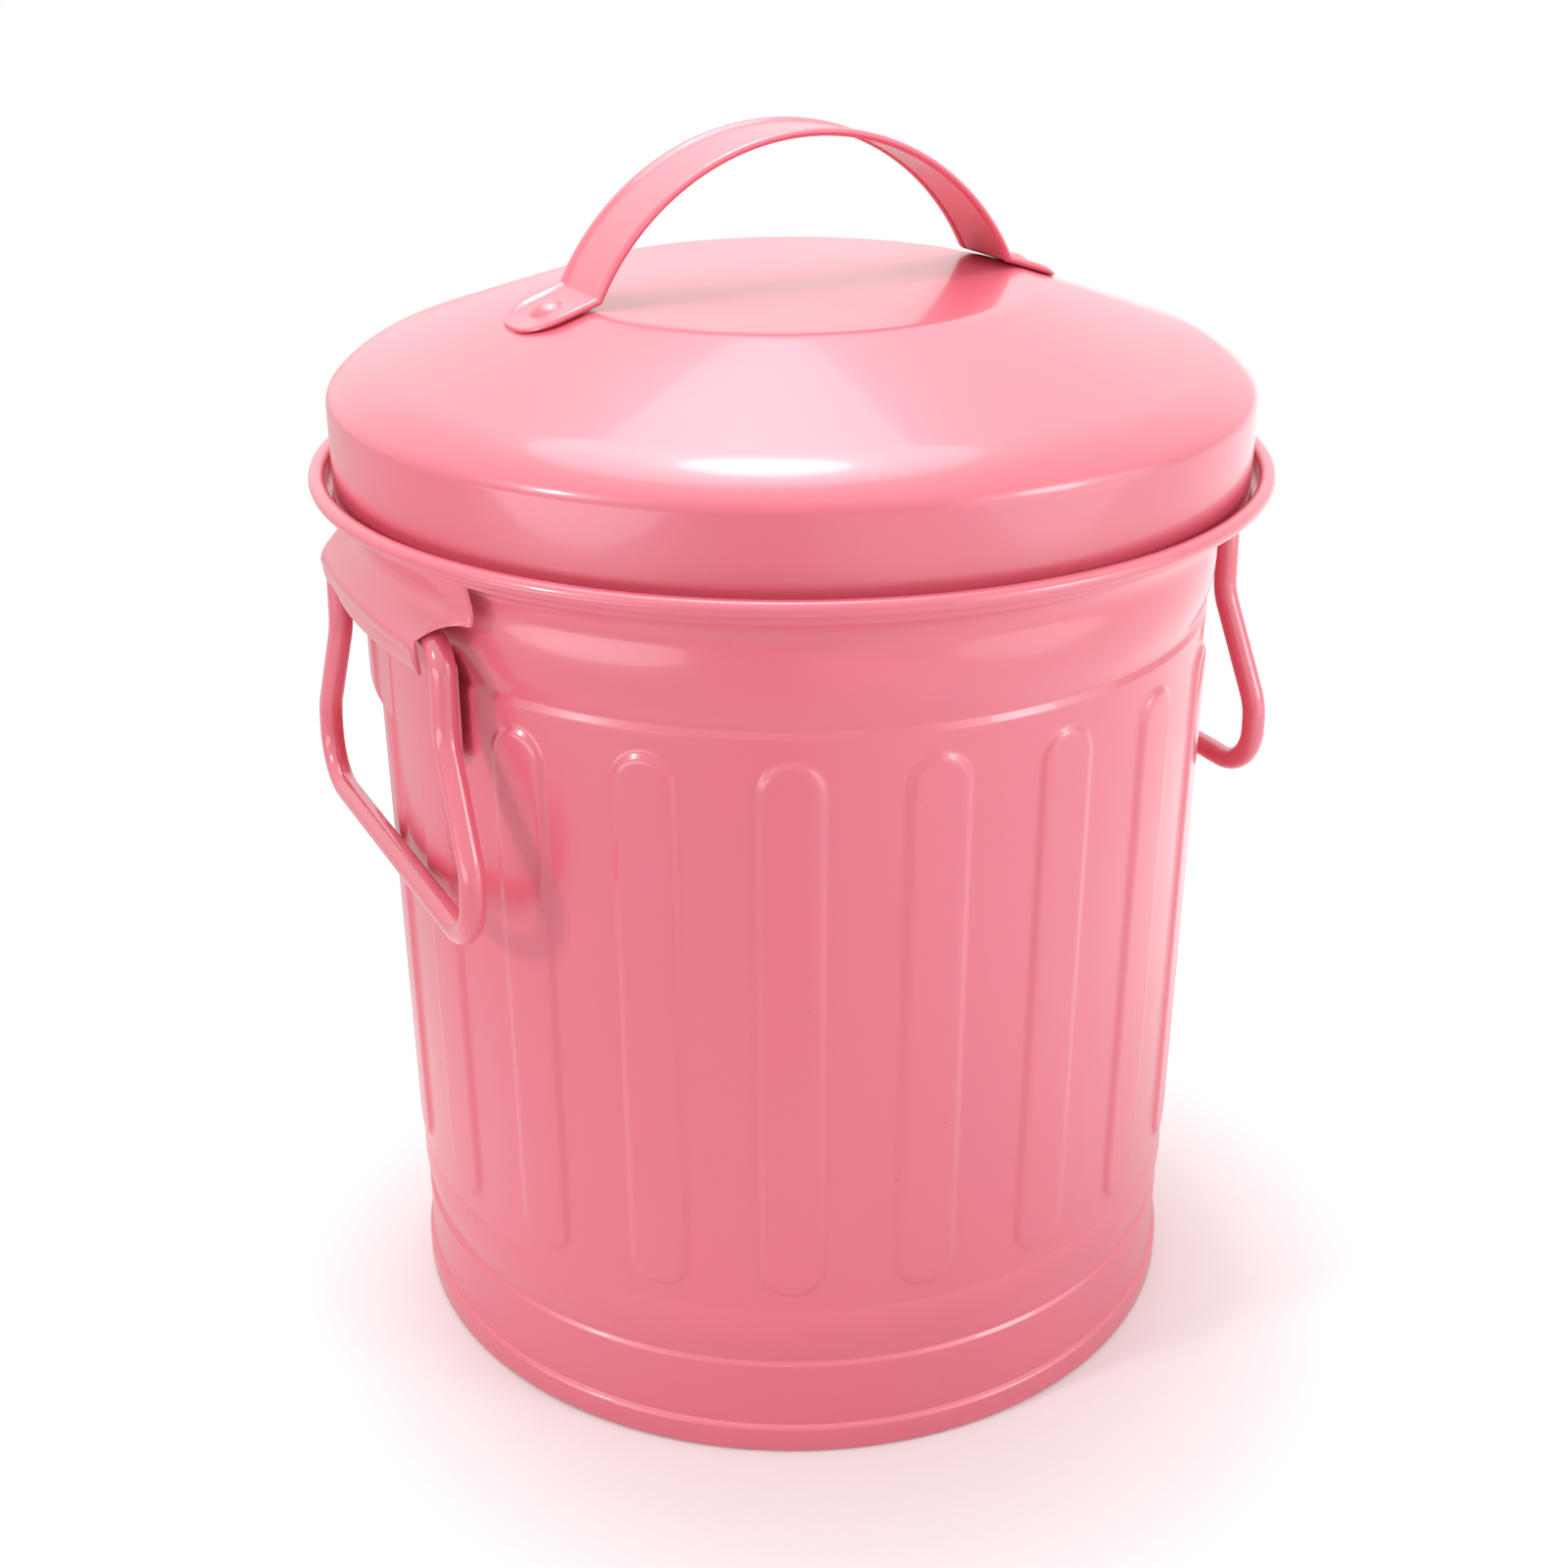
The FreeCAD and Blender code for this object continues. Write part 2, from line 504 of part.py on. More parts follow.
def drill_rivet_holes(body):
    """Two holes square to the lid's cone, one under each strap foot."""
    tilt = (Vector(0, 1, 0), "cone_angle")
    hole = new_sketch(body, "rivet_hole", "XY_Plane", ("rivet_reach", "0", "rivet_height"), tilt)
    draw_circle(hole, "rivet_hole_radius")
    repeat(body, [cut(body, hole, length="rivet_hole_length", even=True)], "2")


def make_lid_shell():
    """Pressed lid: flat top, cone that rounds over, tight shoulder and skirt."""
    body = new_body("lid_shell")
    section = new_sketch(body, "section", "XZ_Plane")
    draw(section, [
        ("0", "lid_top - lid_sheet"),
        ("lid_top_radius - lid_knee", "lid_top - lid_sheet"),
        ("cone_end_radius - lid_sheet_in", "cone_end - lid_sheet_down", ("round", "rounding_inner_radius", -1)),
        ("rounding_end_radius - rounding_sheet_in", "rounding_end - rounding_sheet_down",
         ("round", "shoulder_inner_radius", -1)),
        ("lid_skirt_radius - lid_sheet", "shoulder_bottom"),
        ("lid_skirt_radius - lid_sheet", "lid_bottom"),
        ("lid_skirt_radius", "lid_bottom"),
        ("lid_skirt_radius", "shoulder_bottom", ("round", "shoulder_radius", 1)),
        ("rounding_end_radius", "rounding_end", ("round", "rounding_radius", 1)),
        ("cone_end_radius", "cone_end"),
        ("lid_top_radius", "lid_top"),
        ("0", "lid_top"),
    ])
    revolve(body, section)
    doc.recompute()
    drill_rivet_holes(body)


def make_lid_strap():
    """Arched strap with hemmed edges; its feet lie on the lid's cone with their middles pressed flat."""
    body = new_body("lid_strap")
    side = new_sketch(body, "side", "XZ_Plane")
    draw(side, [
        ("foot_reach", "tip_height"),
        ("foot_reach + tip_out", "tip_height + tip_up"),
        ("arch_half", "bend_height + strap_rise", ("through", "0", "arch_top")),
        ("- arch_half", "bend_height + strap_rise"),
        ("- foot_reach - tip_out", "tip_height + tip_up"),
        ("- foot_reach", "tip_height"),
        ("- bend_inner_half", "bend_inner_height", ("through", "0", "arch_top - strap_thick")),
        ("bend_inner_half", "bend_inner_height"),
    ])
    pad_even(body, side, "strap_width")
    round_edges(body, "foot_corner", lambda edge, middle: abs(middle.x) > number("foot_reach")
                and edge.Length < 2 * number("strap_thick"))
    under = new_sketch(body, "under_arch", "XZ_Plane")
    draw(under, [
        ("hem_half", "hem_height", ("through", "0", "arch_top - strap_sheet")),
        ("- hem_half", "hem_height"),
    ])
    cut(body, under, length="strap_flat", even=True)
    for name, sign in (("right", "+"), ("left", "-")):
        press = new_sketch(body, f"{name}_foot_press", "XZ_Plane")
        draw(press, [
            (f"{sign} foot_flat", "foot_flat_height"),
            (f"{sign} foot_past", "foot_past_height"),
            (f"{sign} foot_past", "foot_past_height + arch_rise"),
            (f"{sign} foot_flat", "foot_flat_height + strap_rise"),
        ])
        cut(body, press, length="strap_flat", even=True)
    drill_rivet_holes(body)


def make_lid_rivet(name, sign):
    """Domed rivet square to the lid's cone, through a strap foot and the lid."""
    body = new_body(name)
    section = new_sketch(body, "section", "XZ_Plane")
    draw(section, [
        ("0", "- rivet_grip - rivet_tail_height"),
        ("rivet_tail_radius", "- rivet_grip - rivet_tail_height"),
        ("rivet_tail_radius", "- rivet_grip"),
        ("rivet_shank_radius", "- rivet_grip"),
        ("rivet_shank_radius", "strap_sheet"),
        ("rivet_head_radius", "strap_sheet", ("round", "rivet_dome_radius", 1)),
        ("0", "strap_sheet + rivet_head_height"),
    ])
    revolve(body, section)
    body.Placement = Placement(Vector(), Rotation(Vector(0, 1, 0), 1))
    bind(body, Placement__Base__x=f"{sign} rivet_reach", Placement__Base__z="rivet_height",
         Placement__Rotation__Angle=f"{sign} cone_angle")


def turn_to_left(body):
    """Put a piece made on the +X side on the -X side."""
    body.Placement = Placement(Vector(), Rotation(Vector(0, 0, 1), 180))


def make_handle(name, left):
    """Drop handle: one bent wire, narrow at the neck and wide at the grip, that leans out over the ribs."""
    body = new_body(name)
    pivot = ("0", "pivot_height", "pivot_radius")
    path = new_sketch(body, "path", "YZ_Plane", pivot, (Vector(1, 0, 0), "- hang_tilt"))
    half = [
        ("pin_inner", "0", None),
        ("neck_half - neck_bend", "0", ("neck_bend", -1)),
        ("neck_half", "- neck_bend", None),
        ("neck_half", "- kink_high + kink_cut", ("kink_radius", 1)),
        ("neck_half + kink_across", "- kink_high - kink_along", None),
        ("grip_half - kink_across", "- kink_low + kink_along", ("kink_radius", -1)),
        ("grip_half", "- kink_low - kink_cut", None),
        ("grip_half", "- handle_drop + grip_bend", ("grip_bend", -1)),
        ("grip_half - grip_bend", "- handle_drop", None),
    ]
    corners = [(across, up) + ((("round",) + bend,) if bend else ()) for across, up, bend in half]
    for place in reversed(range(len(half))):
        across, up = half[place][:2]
        mirrored = " ".join(("- " if sign > 0 else "+ ") + word for sign, word in terms(across))
        bend = half[place - 1][2] if place else None
        corners.append((mirrored, up) + ((("round",) + bend,) if bend else ()))
    draw(path, corners, closed=False)
    wire = new_sketch(body, "wire", "XZ_Plane", ("pivot_radius", "pivot_height", "- pin_inner"))
    draw_circle(wire, "wire_radius")
    doc.recompute()
    pipe = body.newObject("PartDesign::AdditivePipe", f"{name}_wire_bent")
    pipe.Profile = wire
    pipe.Spine = (path, [f"Edge{place}" for place in range(1, len(corners))])
    if left:
        turn_to_left(body)


def make_ear_plate(name, left):
    """Backing plate on the ribs, under the hood, bent flatter than the wall."""
    body = new_body(name)
    section = new_sketch(body, "section", "XZ_Plane", ("plate_axis", "0", "0"))
    draw(section, [
        ("plate_round - plate_sheet", "plate_bottom"),
        ("plate_round", "plate_bottom"),
        ("plate_round", "plate_top"),
        ("plate_round - plate_sheet", "plate_top"),
    ])
    revolve(body, section, angle="plate_angle")
    round_edges(body, "plate_corner", lambda edge, middle: edge.Length < 2 * number("plate_sheet")
                and abs(middle.y) > number("plate_half") / 2)
    if left:
        turn_to_left(body)


def make_ear_hood(name, left):
    """Hood pressed to the wall under the rim and full over the handle's ends, with a curved cut for each leg."""
    body = new_body(name)
    places = [-place for place in range(len(HOOD_SECTIONS) - 1, 0, -1)] + list(range(len(HOOD_SECTIONS)))
    sections = []
    for place in places:
        side, rank = ("+" if place < 0 else "-"), abs(place)
        label = f"section_{'near' if place < 0 else 'far'}_{rank}"
        section = new_sketch(body, label, "XZ_Plane", ("0", "0", f"{side} hood_offset_{rank}"))
        top, crease, bulge, lip = (f"hood_{level}_reach_{rank}" for level in ("top", "crease", "bulge", "lip"))
        draw(section, [
            (lip, "lip_height", ("through", bulge, "hood_bulge_height")),
            (crease, "crease_height"),
            (top, "hood_top"),
            (f"{top} - hood_sheet", "hood_top"),
            (f"{crease} - hood_sheet", "crease_height", ("through", f"{bulge} - hood_sheet", "hood_bulge_height")),
            (f"{lip} - hood_sheet", "lip_height"),
        ])
        sections.append(section)
    doc.recompute()
    loft = body.newObject("PartDesign::AdditiveLoft", f"{name}_pressed")
    loft.Profile = sections[0]
    loft.Sections = sections[1:]
    doc.recompute()
    for side in ("+", "-"):
        legs = new_sketch(body, "near_leg" if side == "+" else "far_leg", "YZ_Plane")
        turn = -1 if side == "+" else 1
        draw(legs, [
            (f"{side} lip_half", "lip_height", ("round", "leg_cut_radius", turn)),
            (f"{side} hood_half", "arm_height"),
            (f"{side} leg_cut_past", "arm_height"),
            (f"{side} leg_cut_past", "lip_height - lip_cover"),
            (f"{side} lip_half", "lip_height - lip_cover"),
        ])
        cut(body, legs, reverse=True)
    if left:
        turn_to_left(body)


def export():
    """Check every object and every piece, then write one file per piece."""
    doc.recompute()
    failed = [thing.Name for thing in doc.Objects if {"Invalid", "Error"} & set(thing.State)]
    failed += [body.Label for body in parts if body.Shape.isNull() or not body.Shape.isValid()]
    failed += [body.Label for body in parts if len(body.Shape.Solids) != 1]
    if failed:
        raise RuntimeError("not built: " + ", ".join(failed))
    os.makedirs("parts", exist_ok=True)
    for body in parts:
        body.Shape.exportStep(f"parts/{body.Label}.step")
        box = body.Shape.BoundBox
        print(f"{body.Label}: {body.Shape.Volume:.1f} mm3, x {box.XMin:.2f} to {box.XMax:.2f}, "
              f"y {box.YMin:.2f} to {box.YMax:.2f}, z {box.ZMin:.2f} to {box.ZMax:.2f}")


fill_sheet()
print(f"pivot radius {number('pivot_radius'):.4f} mm, height {number('pivot_height'):.4f} mm")
make_can_wall()
make_can_floor()
make_lid_shell()
make_lid_strap()
make_lid_rivet("lid_rivet_right", "+")
make_lid_rivet("lid_rivet_left", "-")
for ear_side, on_left in (("right", False), ("left", True)):
    make_ear_plate(f"{ear_side}_ear_plate", on_left)
    make_ear_hood(f"{ear_side}_ear_hood", on_left)
    make_handle(f"{ear_side}_handle", on_left)
export()
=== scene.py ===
import json
import math

import bmesh
import bpy
from mathutils import Matrix, Vector


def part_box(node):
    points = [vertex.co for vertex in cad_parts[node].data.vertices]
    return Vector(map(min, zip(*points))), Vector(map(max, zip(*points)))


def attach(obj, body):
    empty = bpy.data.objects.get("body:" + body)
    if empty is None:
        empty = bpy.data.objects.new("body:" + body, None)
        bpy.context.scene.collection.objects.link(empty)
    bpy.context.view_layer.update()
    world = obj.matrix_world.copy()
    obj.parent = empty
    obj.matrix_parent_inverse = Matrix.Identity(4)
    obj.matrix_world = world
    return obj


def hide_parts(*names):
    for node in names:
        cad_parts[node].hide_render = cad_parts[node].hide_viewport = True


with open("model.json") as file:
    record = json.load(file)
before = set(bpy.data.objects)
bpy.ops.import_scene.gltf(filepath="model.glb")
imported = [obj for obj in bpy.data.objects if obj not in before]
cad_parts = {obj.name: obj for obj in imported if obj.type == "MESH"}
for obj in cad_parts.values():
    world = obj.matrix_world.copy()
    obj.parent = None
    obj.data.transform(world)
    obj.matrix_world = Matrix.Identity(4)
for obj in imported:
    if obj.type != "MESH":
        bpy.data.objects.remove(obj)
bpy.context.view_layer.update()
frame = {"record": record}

# Can wall.
# Thin steel sheet rolled into a tube and powder coated pink inside and out. The ribs are pressed out from the
# inside, the rim is curled into a bead, and the flare under the bead is the ledge that the lid stands on.
MM = 0.001
rim_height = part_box("can_wall")[1].z / MM
wall_foot_radius = 65.0
wall_top_radius = 66.0
wall_sheet = 0.6
seam_radius = 65.7
seam_inner_radius = 62.7
seam_height = 4.7
ledge_height = 16.85
low_band_top = 26.8
low_band_bulge = 0.51
bead_radius = 1.25
rim_depth = 3.3
seat_height = rim_height - rim_depth
flare_radius = 5.7
flare_height = seat_height - wall_sheet - flare_radius
band_radius = 66.5
band_bottom = flare_height - 11.9
band_bulge = 0.75
rim_inner_radius = band_radius + flare_radius
ribbed_bottom = low_band_top + 0.8
ribbed_top = band_bottom - 1.8
rib_count = 20
rib_half_width = 4.5
rib_bottom = low_band_top + 3.2
rib_top = band_bottom - 4.5
rib_relief = ((0.9, 0.0), (0.6, 0.02), (0.35, 0.09), (0.1, 0.22), (-0.15, 0.4), (-0.4, 0.55), (-0.7, 0.65),
              (-1.05, 0.7), (-1.6, 0.7), (-2.8, 0.7), (-4.0, 0.7))
sector_columns = 14
side_rows = 28
pink = (0.76, 0.137, 0.195)


def fillet(corners, steps=6):
    """Points along straight runs between corners (across, up, rounding), each corner rounded by an arc."""
    points = []
    for place, (across, up, rounding) in enumerate(corners):
        corner = Vector((across, up))
        if rounding == 0 or place in (0, len(corners) - 1):
            points.append(corner)
            continue
        back = (Vector(corners[place - 1][:2]) - corner).normalized()
        ahead = (Vector(corners[place + 1][:2]) - corner).normalized()
        half = back.angle(ahead) / 2
        middle = corner + (back + ahead).normalized() * rounding / math.sin(half)
        start = corner + back * rounding / math.tan(half) - middle
        sweep = (math.pi - 2 * half) * (1 if back.cross(ahead) < 0 else -1)
        for step in range(steps + 1):
            points.append(middle + Matrix.Rotation(sweep * step / steps, 2) @ start)
    return points


def bulge(start, end, height, steps=10):
    """Points strictly between start and end on a shallow arc that swells to the right of the way."""
    start, end = Vector(start), Vector(end)
    half = (end - start) / 2
    outward = Vector((half.y, -half.x)).normalized()
    radius = (half.length_squared + height * height) / (2 * height)
    middle = start + half + outward * (height - radius)
    reach = math.asin(half.length / radius)
    ahead = half.normalized()
    return [middle + outward * radius * math.cos(turn) + ahead * radius * math.sin(turn)
            for turn in (reach * (2 * step / steps - 1) for step in range(1, steps))]


def arc(middle, radius, first, last, steps):
    """Points on an arc about middle, from one angle in degrees to another."""
    turns = [math.radians(first + (last - first) * step / steps) for step in range(steps + 1)]
    return [Vector((middle[0] + radius * math.cos(turn), middle[1] + radius * math.sin(turn)))
            for turn in turns]


def ring(verts, radius, height, columns):
    """Add one ring of vertices about the upright axis, or a single vertex on the axis."""
    first = len(verts)
    if radius < 1e-6:
        verts.append(Vector((0, 0, height)) * MM)
        return [first]
    for column in range(columns):
        turn = 2 * math.pi * column / columns
        verts.append(Vector((radius * math.cos(turn), radius * math.sin(turn), height)) * MM)
    return list(range(first, first + columns))


def bridge(faces, lower, upper):
    """Faces between two rings, facing outwards where upper is the higher ring of an outside wall."""
    columns = max(len(lower), len(upper))
    for column in range(columns):
        after = (column + 1) % columns
        loop = [lower[column % len(lower)], lower[after % len(lower)],
                upper[after % len(upper)], upper[column % len(upper)]]
        faces.append(list(dict.fromkeys(loop)))


def turned(verts, faces, outline, columns):
    """Turn an outline of (radius, height) points about the upright axis; gives its first and last ring."""
    rings = [ring(verts, radius, height, columns) for radius, height in outline]
    for lower, upper in zip(rings, rings[1:]):
        bridge(faces, lower, upper)
    return rings[0], rings[-1]


def obround(half_width, half_straight):
    """Loop of points round an upright slot, in step with the loop round one rib's share of the wall."""
    loop = [(half_width * math.cos(turn), half_width * math.sin(turn) - half_straight)
            for turn in (math.pi * (1 + step / sector_columns) for step in range(sector_columns))]
    loop += [(half_width, half_straight * (2 * row / side_rows - 1)) for row in range(side_rows)]
    return loop + [(-across, -up) for across, up in loop]


def ribbed_band(verts, faces, lower, upper, sheet_offset):
    """Ribbed stretch of the wall between two rings; sheet_offset moves it in for the inside of the sheet."""
    def radius_at(height):
        rise = (height - low_band_top) / (band_bottom - 1 - low_band_top)
        return wall_foot_radius + (wall_top_radius - wall_foot_radius) * rise - sheet_offset

    def place(turn, height, relief=0.0):
        radius = radius_at(height) + relief
        verts.append(Vector((radius * math.cos(turn), radius * math.sin(turn), height)) * MM)
        return len(verts) - 1

    sector = 2 * math.pi / rib_count
    levels = [ribbed_bottom + (ribbed_top - ribbed_bottom) * row / side_rows for row in range(1, side_rows)]
    sides = [[lower[rib * sector_columns]] + [place(rib * sector, level) for level in levels]
             + [upper[rib * sector_columns]] for rib in range(rib_count)]
    middle_height = (rib_bottom + rib_top) / 2
    half_straight = (rib_top - rib_bottom) / 2 - rib_half_width
    for rib in range(rib_count):
        crest = (rib + 0.5) * sector
        columns = [(rib * sector_columns + column) % len(lower) for column in range(sector_columns + 1)]
        right = sides[(rib + 1) % rib_count]
        outer = [lower[column] for column in columns[:-1]] + right[:-1]
        outer += [upper[column] for column in columns[:0:-1]] + sides[rib][:0:-1]
        frame_points = [((math.atan2(verts[v].y, verts[v].x) - crest + math.pi) % (2 * math.pi) - math.pi,
                         verts[v].z / MM) for v in outer]
        first_loop = obround(rib_half_width + rib_relief[0][0], half_straight)
        loops = [outer]
        for share in (0.4, 0.75):
            loops.append([place(crest + turn * (1 - share) + share * across / radius_at(up + middle_height),
                                height * (1 - share) + share * (up + middle_height))
                          for (turn, height), (across, up) in zip(frame_points, first_loop)])
        for offset, relief in rib_relief:
            loops.append([place(crest + across / radius_at(up + middle_height), up + middle_height, relief)
                          for across, up in obround(rib_half_width + offset, half_straight)])
        patch = []
        for wide, narrow in zip(loops, loops[1:]):
            bridge(patch, wide, narrow)
        last = loops[-1]
        top = sector_columns + side_rows
        patch.append(last[:sector_columns + 1])
        patch.append(last[top:top + sector_columns + 1])
        for row in range(side_rows):
            side = sector_columns + row
            patch.append([last[-row], last[side], last[side + 1], last[-row - 1]])
        faces.extend([face[::-1] for face in patch] if sheet_offset else patch)


def make_node_group(name, inputs, outputs):
    """Empty shader node group with named sockets, and its input and output nodes."""
    group = bpy.data.node_groups.new(name, "ShaderNodeTree")
    kinds = {"Color": "NodeSocketColor"}
    for direction, names in (("INPUT", inputs), ("OUTPUT", outputs)):
        for socket in names:
            group.interface.new_socket(name=socket, in_out=direction,
                                       socket_type=kinds.get(socket, "NodeSocketFloat"))
    return group, group.nodes.new("NodeGroupInput"), group.nodes.new("NodeGroupOutput")


def add_node(tree, kind, settings=(), **sockets):
    """New shader node with its settings, constant inputs and links; a linked input is given as a socket."""
    node = tree.nodes.new(kind)
    for key, setting in dict(settings).items():
        setattr(node, key, setting)
    for key, content in sockets.items():
        socket = node.inputs[int(key[1:])] if key[0] == "_" else node.inputs[key.replace("_", " ")]
        if isinstance(content, bpy.types.NodeSocket):
            tree.links.new(content, socket)
        else:
            socket.default_value = content
    return node


def make_orange_peel():
    """Ripple of baked powder paint: slow waves with a finer grain on top, and a rub map for the roughness."""
    group, given, out = make_node_group("orange_peel", ("Wave Scale", "Grain Scale", "Grain Share"),
                                        ("Height", "Rub"))
    spot = add_node(group, "ShaderNodeTexCoord").outputs["Object"]
    wave = add_node(group, "ShaderNodeTexNoise", Vector=spot, Scale=given.outputs["Wave Scale"], Detail=1.5)
    grain = add_node(group, "ShaderNodeTexNoise", Vector=spot, Scale=given.outputs["Grain Scale"], Detail=2.0)
    height = add_node(group, "ShaderNodeMix", _0=given.outputs["Grain Share"], _2=wave.outputs["Fac"],
                      _3=grain.outputs["Fac"])
    rub = add_node(group, "ShaderNodeTexNoise", Vector=spot, Scale=38.0, Detail=2.0)
    group.links.new(height.outputs[0], out.inputs["Height"])
    group.links.new(rub.outputs["Fac"], out.inputs["Rub"])
    return group


def make_paint_tone():
    """Slight drift of the paint's colour over the surface, and the sparse dark pits of a powder coat."""
    group, given, out = make_node_group("paint_tone", ("Color", "Drift", "Pit Amount"), ("Color",))
    spot = add_node(group, "ShaderNodeTexCoord").outputs["Object"]
    drift = add_node(group, "ShaderNodeTexNoise", Vector=spot, Scale=24.0, Detail=3.0)
    centred = add_node(group, "ShaderNodeMath", {"operation": "SUBTRACT"}, _0=drift.outputs["Fac"], _1=0.5)
    sway = add_node(group, "ShaderNodeMath", {"operation": "MULTIPLY_ADD"}, _0=centred.outputs[0],
                    _1=given.outputs["Drift"], _2=1.0)
    toned = add_node(group, "ShaderNodeHueSaturation", Value=sway.outputs[0], Color=given.outputs["Color"])
    cells = add_node(group, "ShaderNodeTexVoronoi", Vector=spot, Scale=420.0)
    chosen = add_node(group, "ShaderNodeTexNoise", Vector=spot, Scale=130.0, Detail=1.0)
    pits = add_node(group, "ShaderNodeMapRange", Value=cells.outputs["Distance"], From_Min=0.11,
                    From_Max=0.05)
    patches = add_node(group, "ShaderNodeMapRange", Value=chosen.outputs["Fac"], From_Min=0.66, From_Max=0.7)
    both = add_node(group, "ShaderNodeMath", {"operation": "MULTIPLY"}, _0=pits.outputs[0],
                    _1=patches.outputs[0])
    amount = add_node(group, "ShaderNodeMath", {"operation": "MULTIPLY"}, _0=both.outputs[0],
                      _1=given.outputs["Pit Amount"])
    pitted = add_node(group, "ShaderNodeMix", {"data_type": "RGBA"}, _0=amount.outputs[0],
                      _6=toned.outputs["Color"], _7=(0.42, 0.07, 0.1, 1))
    group.links.new(pitted.outputs[2], out.inputs["Color"])
    return group


orange_peel = make_orange_peel()
paint_tone = make_paint_tone()


def pink_paint(name, wave_scale, peel_depth, roughness=(0.27, 0.37), drift=0.06, pits=0.0):
    """Glossy pink powder coat over steel sheet, with its own ripple, roughness and pits for each piece."""
    material = bpy.data.materials.new(name)
    material.use_nodes = True
    tree = material.node_tree
    shader = tree.nodes["Principled BSDF"]
    tone = add_node(tree, "ShaderNodeGroup", {"node_tree": paint_tone}, Color=(*pink, 1), Drift=drift,
                    Pit_Amount=pits)
    peel = add_node(tree, "ShaderNodeGroup", {"node_tree": orange_peel}, Wave_Scale=wave_scale,
                    Grain_Scale=wave_scale * 4, Grain_Share=0.25)
    rough = add_node(tree, "ShaderNodeMapRange", Value=peel.outputs["Rub"], From_Min=0.2, From_Max=0.8,
                     To_Min=roughness[0], To_Max=roughness[1])
    ripple = add_node(tree, "ShaderNodeBump", Height=peel.outputs["Height"], Strength=0.35,
                      Distance=peel_depth * MM)
    tree.links.new(tone.outputs["Color"], shader.inputs["Base Color"])
    tree.links.new(rough.outputs[0], shader.inputs["Roughness"])
    tree.links.new(ripple.outputs["Normal"], shader.inputs["Normal"])
    shader.inputs["Specular IOR Level"].default_value = 0.8
    shader.inputs["Coat Weight"].default_value = 0.5
    shader.inputs["Coat Roughness"].default_value = 0.08
    return material


def make_piece(name, verts, faces, material, body, edge=None):
    """Mesh piece for the solid of the same name; edge bevels its sharp edges by that many millimetres."""
    mesh = bpy.data.meshes.new(name)
    mesh.from_pydata(verts, [], faces)
    form = bmesh.new()
    form.from_mesh(mesh)
    bmesh.ops.remove_doubles(form, verts=form.verts, dist=1e-7)
    if edge:
        sharp = [line for line in form.edges if line.calc_face_angle(0) > math.radians(50)]
        bmesh.ops.bevel(form, geom=sharp, offset=edge * MM, segments=3, profile=0.6, affect="EDGES")
    bmesh.ops.recalc_face_normals(form, faces=form.faces)
    form.to_mesh(mesh)
    form.free()
    mesh.shade_smooth()
    mesh.set_sharp_from_angle(angle=math.radians(42))
    mesh.materials.append(material)
    piece = bpy.data.objects.new(f"{name}_painted", mesh)
    bpy.context.scene.collection.objects.link(piece)
    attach(piece, body)
    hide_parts(name)


def make_can_wall():
    """Closed skin of the wall: foot, ribbed outside, rim bead, ribbed inside and back to the seam."""
    columns = rib_count * sector_columns
    foot = fillet([(seam_inner_radius, 0, 0), (seam_radius, 0, 0.9), (seam_radius, seam_height, 0.9),
                   (wall_foot_radius, seam_height + 0.3, 0.25), (wall_foot_radius, ledge_height - 0.6, 0.5),
                   (wall_foot_radius - 0.5, ledge_height, 0.4),
                   (wall_foot_radius - 0.4, ledge_height + 1.0, 0)])
    low_end = (wall_foot_radius, low_band_top)
    foot += bulge(foot[-1], low_end, low_band_bulge)
    foot += [Vector((wall_foot_radius + 0.05, low_band_top - 0.25)), Vector(low_end)]
    foot.append(Vector((wall_foot_radius, low_band_top + 0.2)))
    foot.append(Vector((wall_foot_radius + 0.01, ribbed_bottom)))
    groove = fillet([(wall_top_radius, ribbed_top, 0), (wall_top_radius, band_bottom - 1.0, 0.5),
                     (wall_top_radius - 0.5, band_bottom, 0.4),
                     (wall_top_radius - 0.3, band_bottom + 1.0, 0)])
    band = bulge(groove[-1], (band_radius, flare_height), band_bulge)
    flare_middle = (rim_inner_radius, flare_height)
    flare = arc(flare_middle, flare_radius, 180, 92, 10)
    bead_middle = (rim_inner_radius + bead_radius, rim_height - bead_radius)
    bead = arc(bead_middle, bead_radius, -130, 180, 28)
    inner_flare = arc(flare_middle, flare_radius + wall_sheet, 90, 180, 10)
    inner_band = [Vector((radius - wall_sheet, height)) for radius, height in (groove + band)[::-1]]
    upper = groove + band + flare + bead + inner_flare + inner_band
    inside = [Vector((radius - wall_sheet, height)) for radius, height in foot[::-1]
              if height > seam_height + 0.4]
    inside += [Vector((wall_foot_radius - wall_sheet, seam_height)), Vector((seam_inner_radius, seam_height))]
    verts, faces = [], []
    seam_ring, outer_low = turned(verts, faces, foot, columns)
    outer_high, inner_high = turned(verts, faces, upper, columns)
    inner_low, seam_top = turned(verts, faces, inside, columns)
    ribbed_band(verts, faces, outer_low, outer_high, 0.0)
    ribbed_band(verts, faces, inner_low, inner_high, wall_sheet)
    bridge(faces, seam_top, seam_ring)
    paint = pink_paint("pink_can_paint", wave_scale=330, peel_depth=0.05, pits=0.5)
    make_piece("can_wall", verts, faces, paint, "can")


make_can_wall()

# Can floor.
# Pressed steel disc with a raised middle, painted with the can. It lies on the seam ring at the foot of
# the wall.
floor_radius = wall_foot_radius - wall_sheet - 0.1
floor_sheet = 0.6
floor_step_radius = floor_radius - 11.0
floor_panel_radius = floor_step_radius - 3.0
floor_rise = 1.5
floor_columns = 160


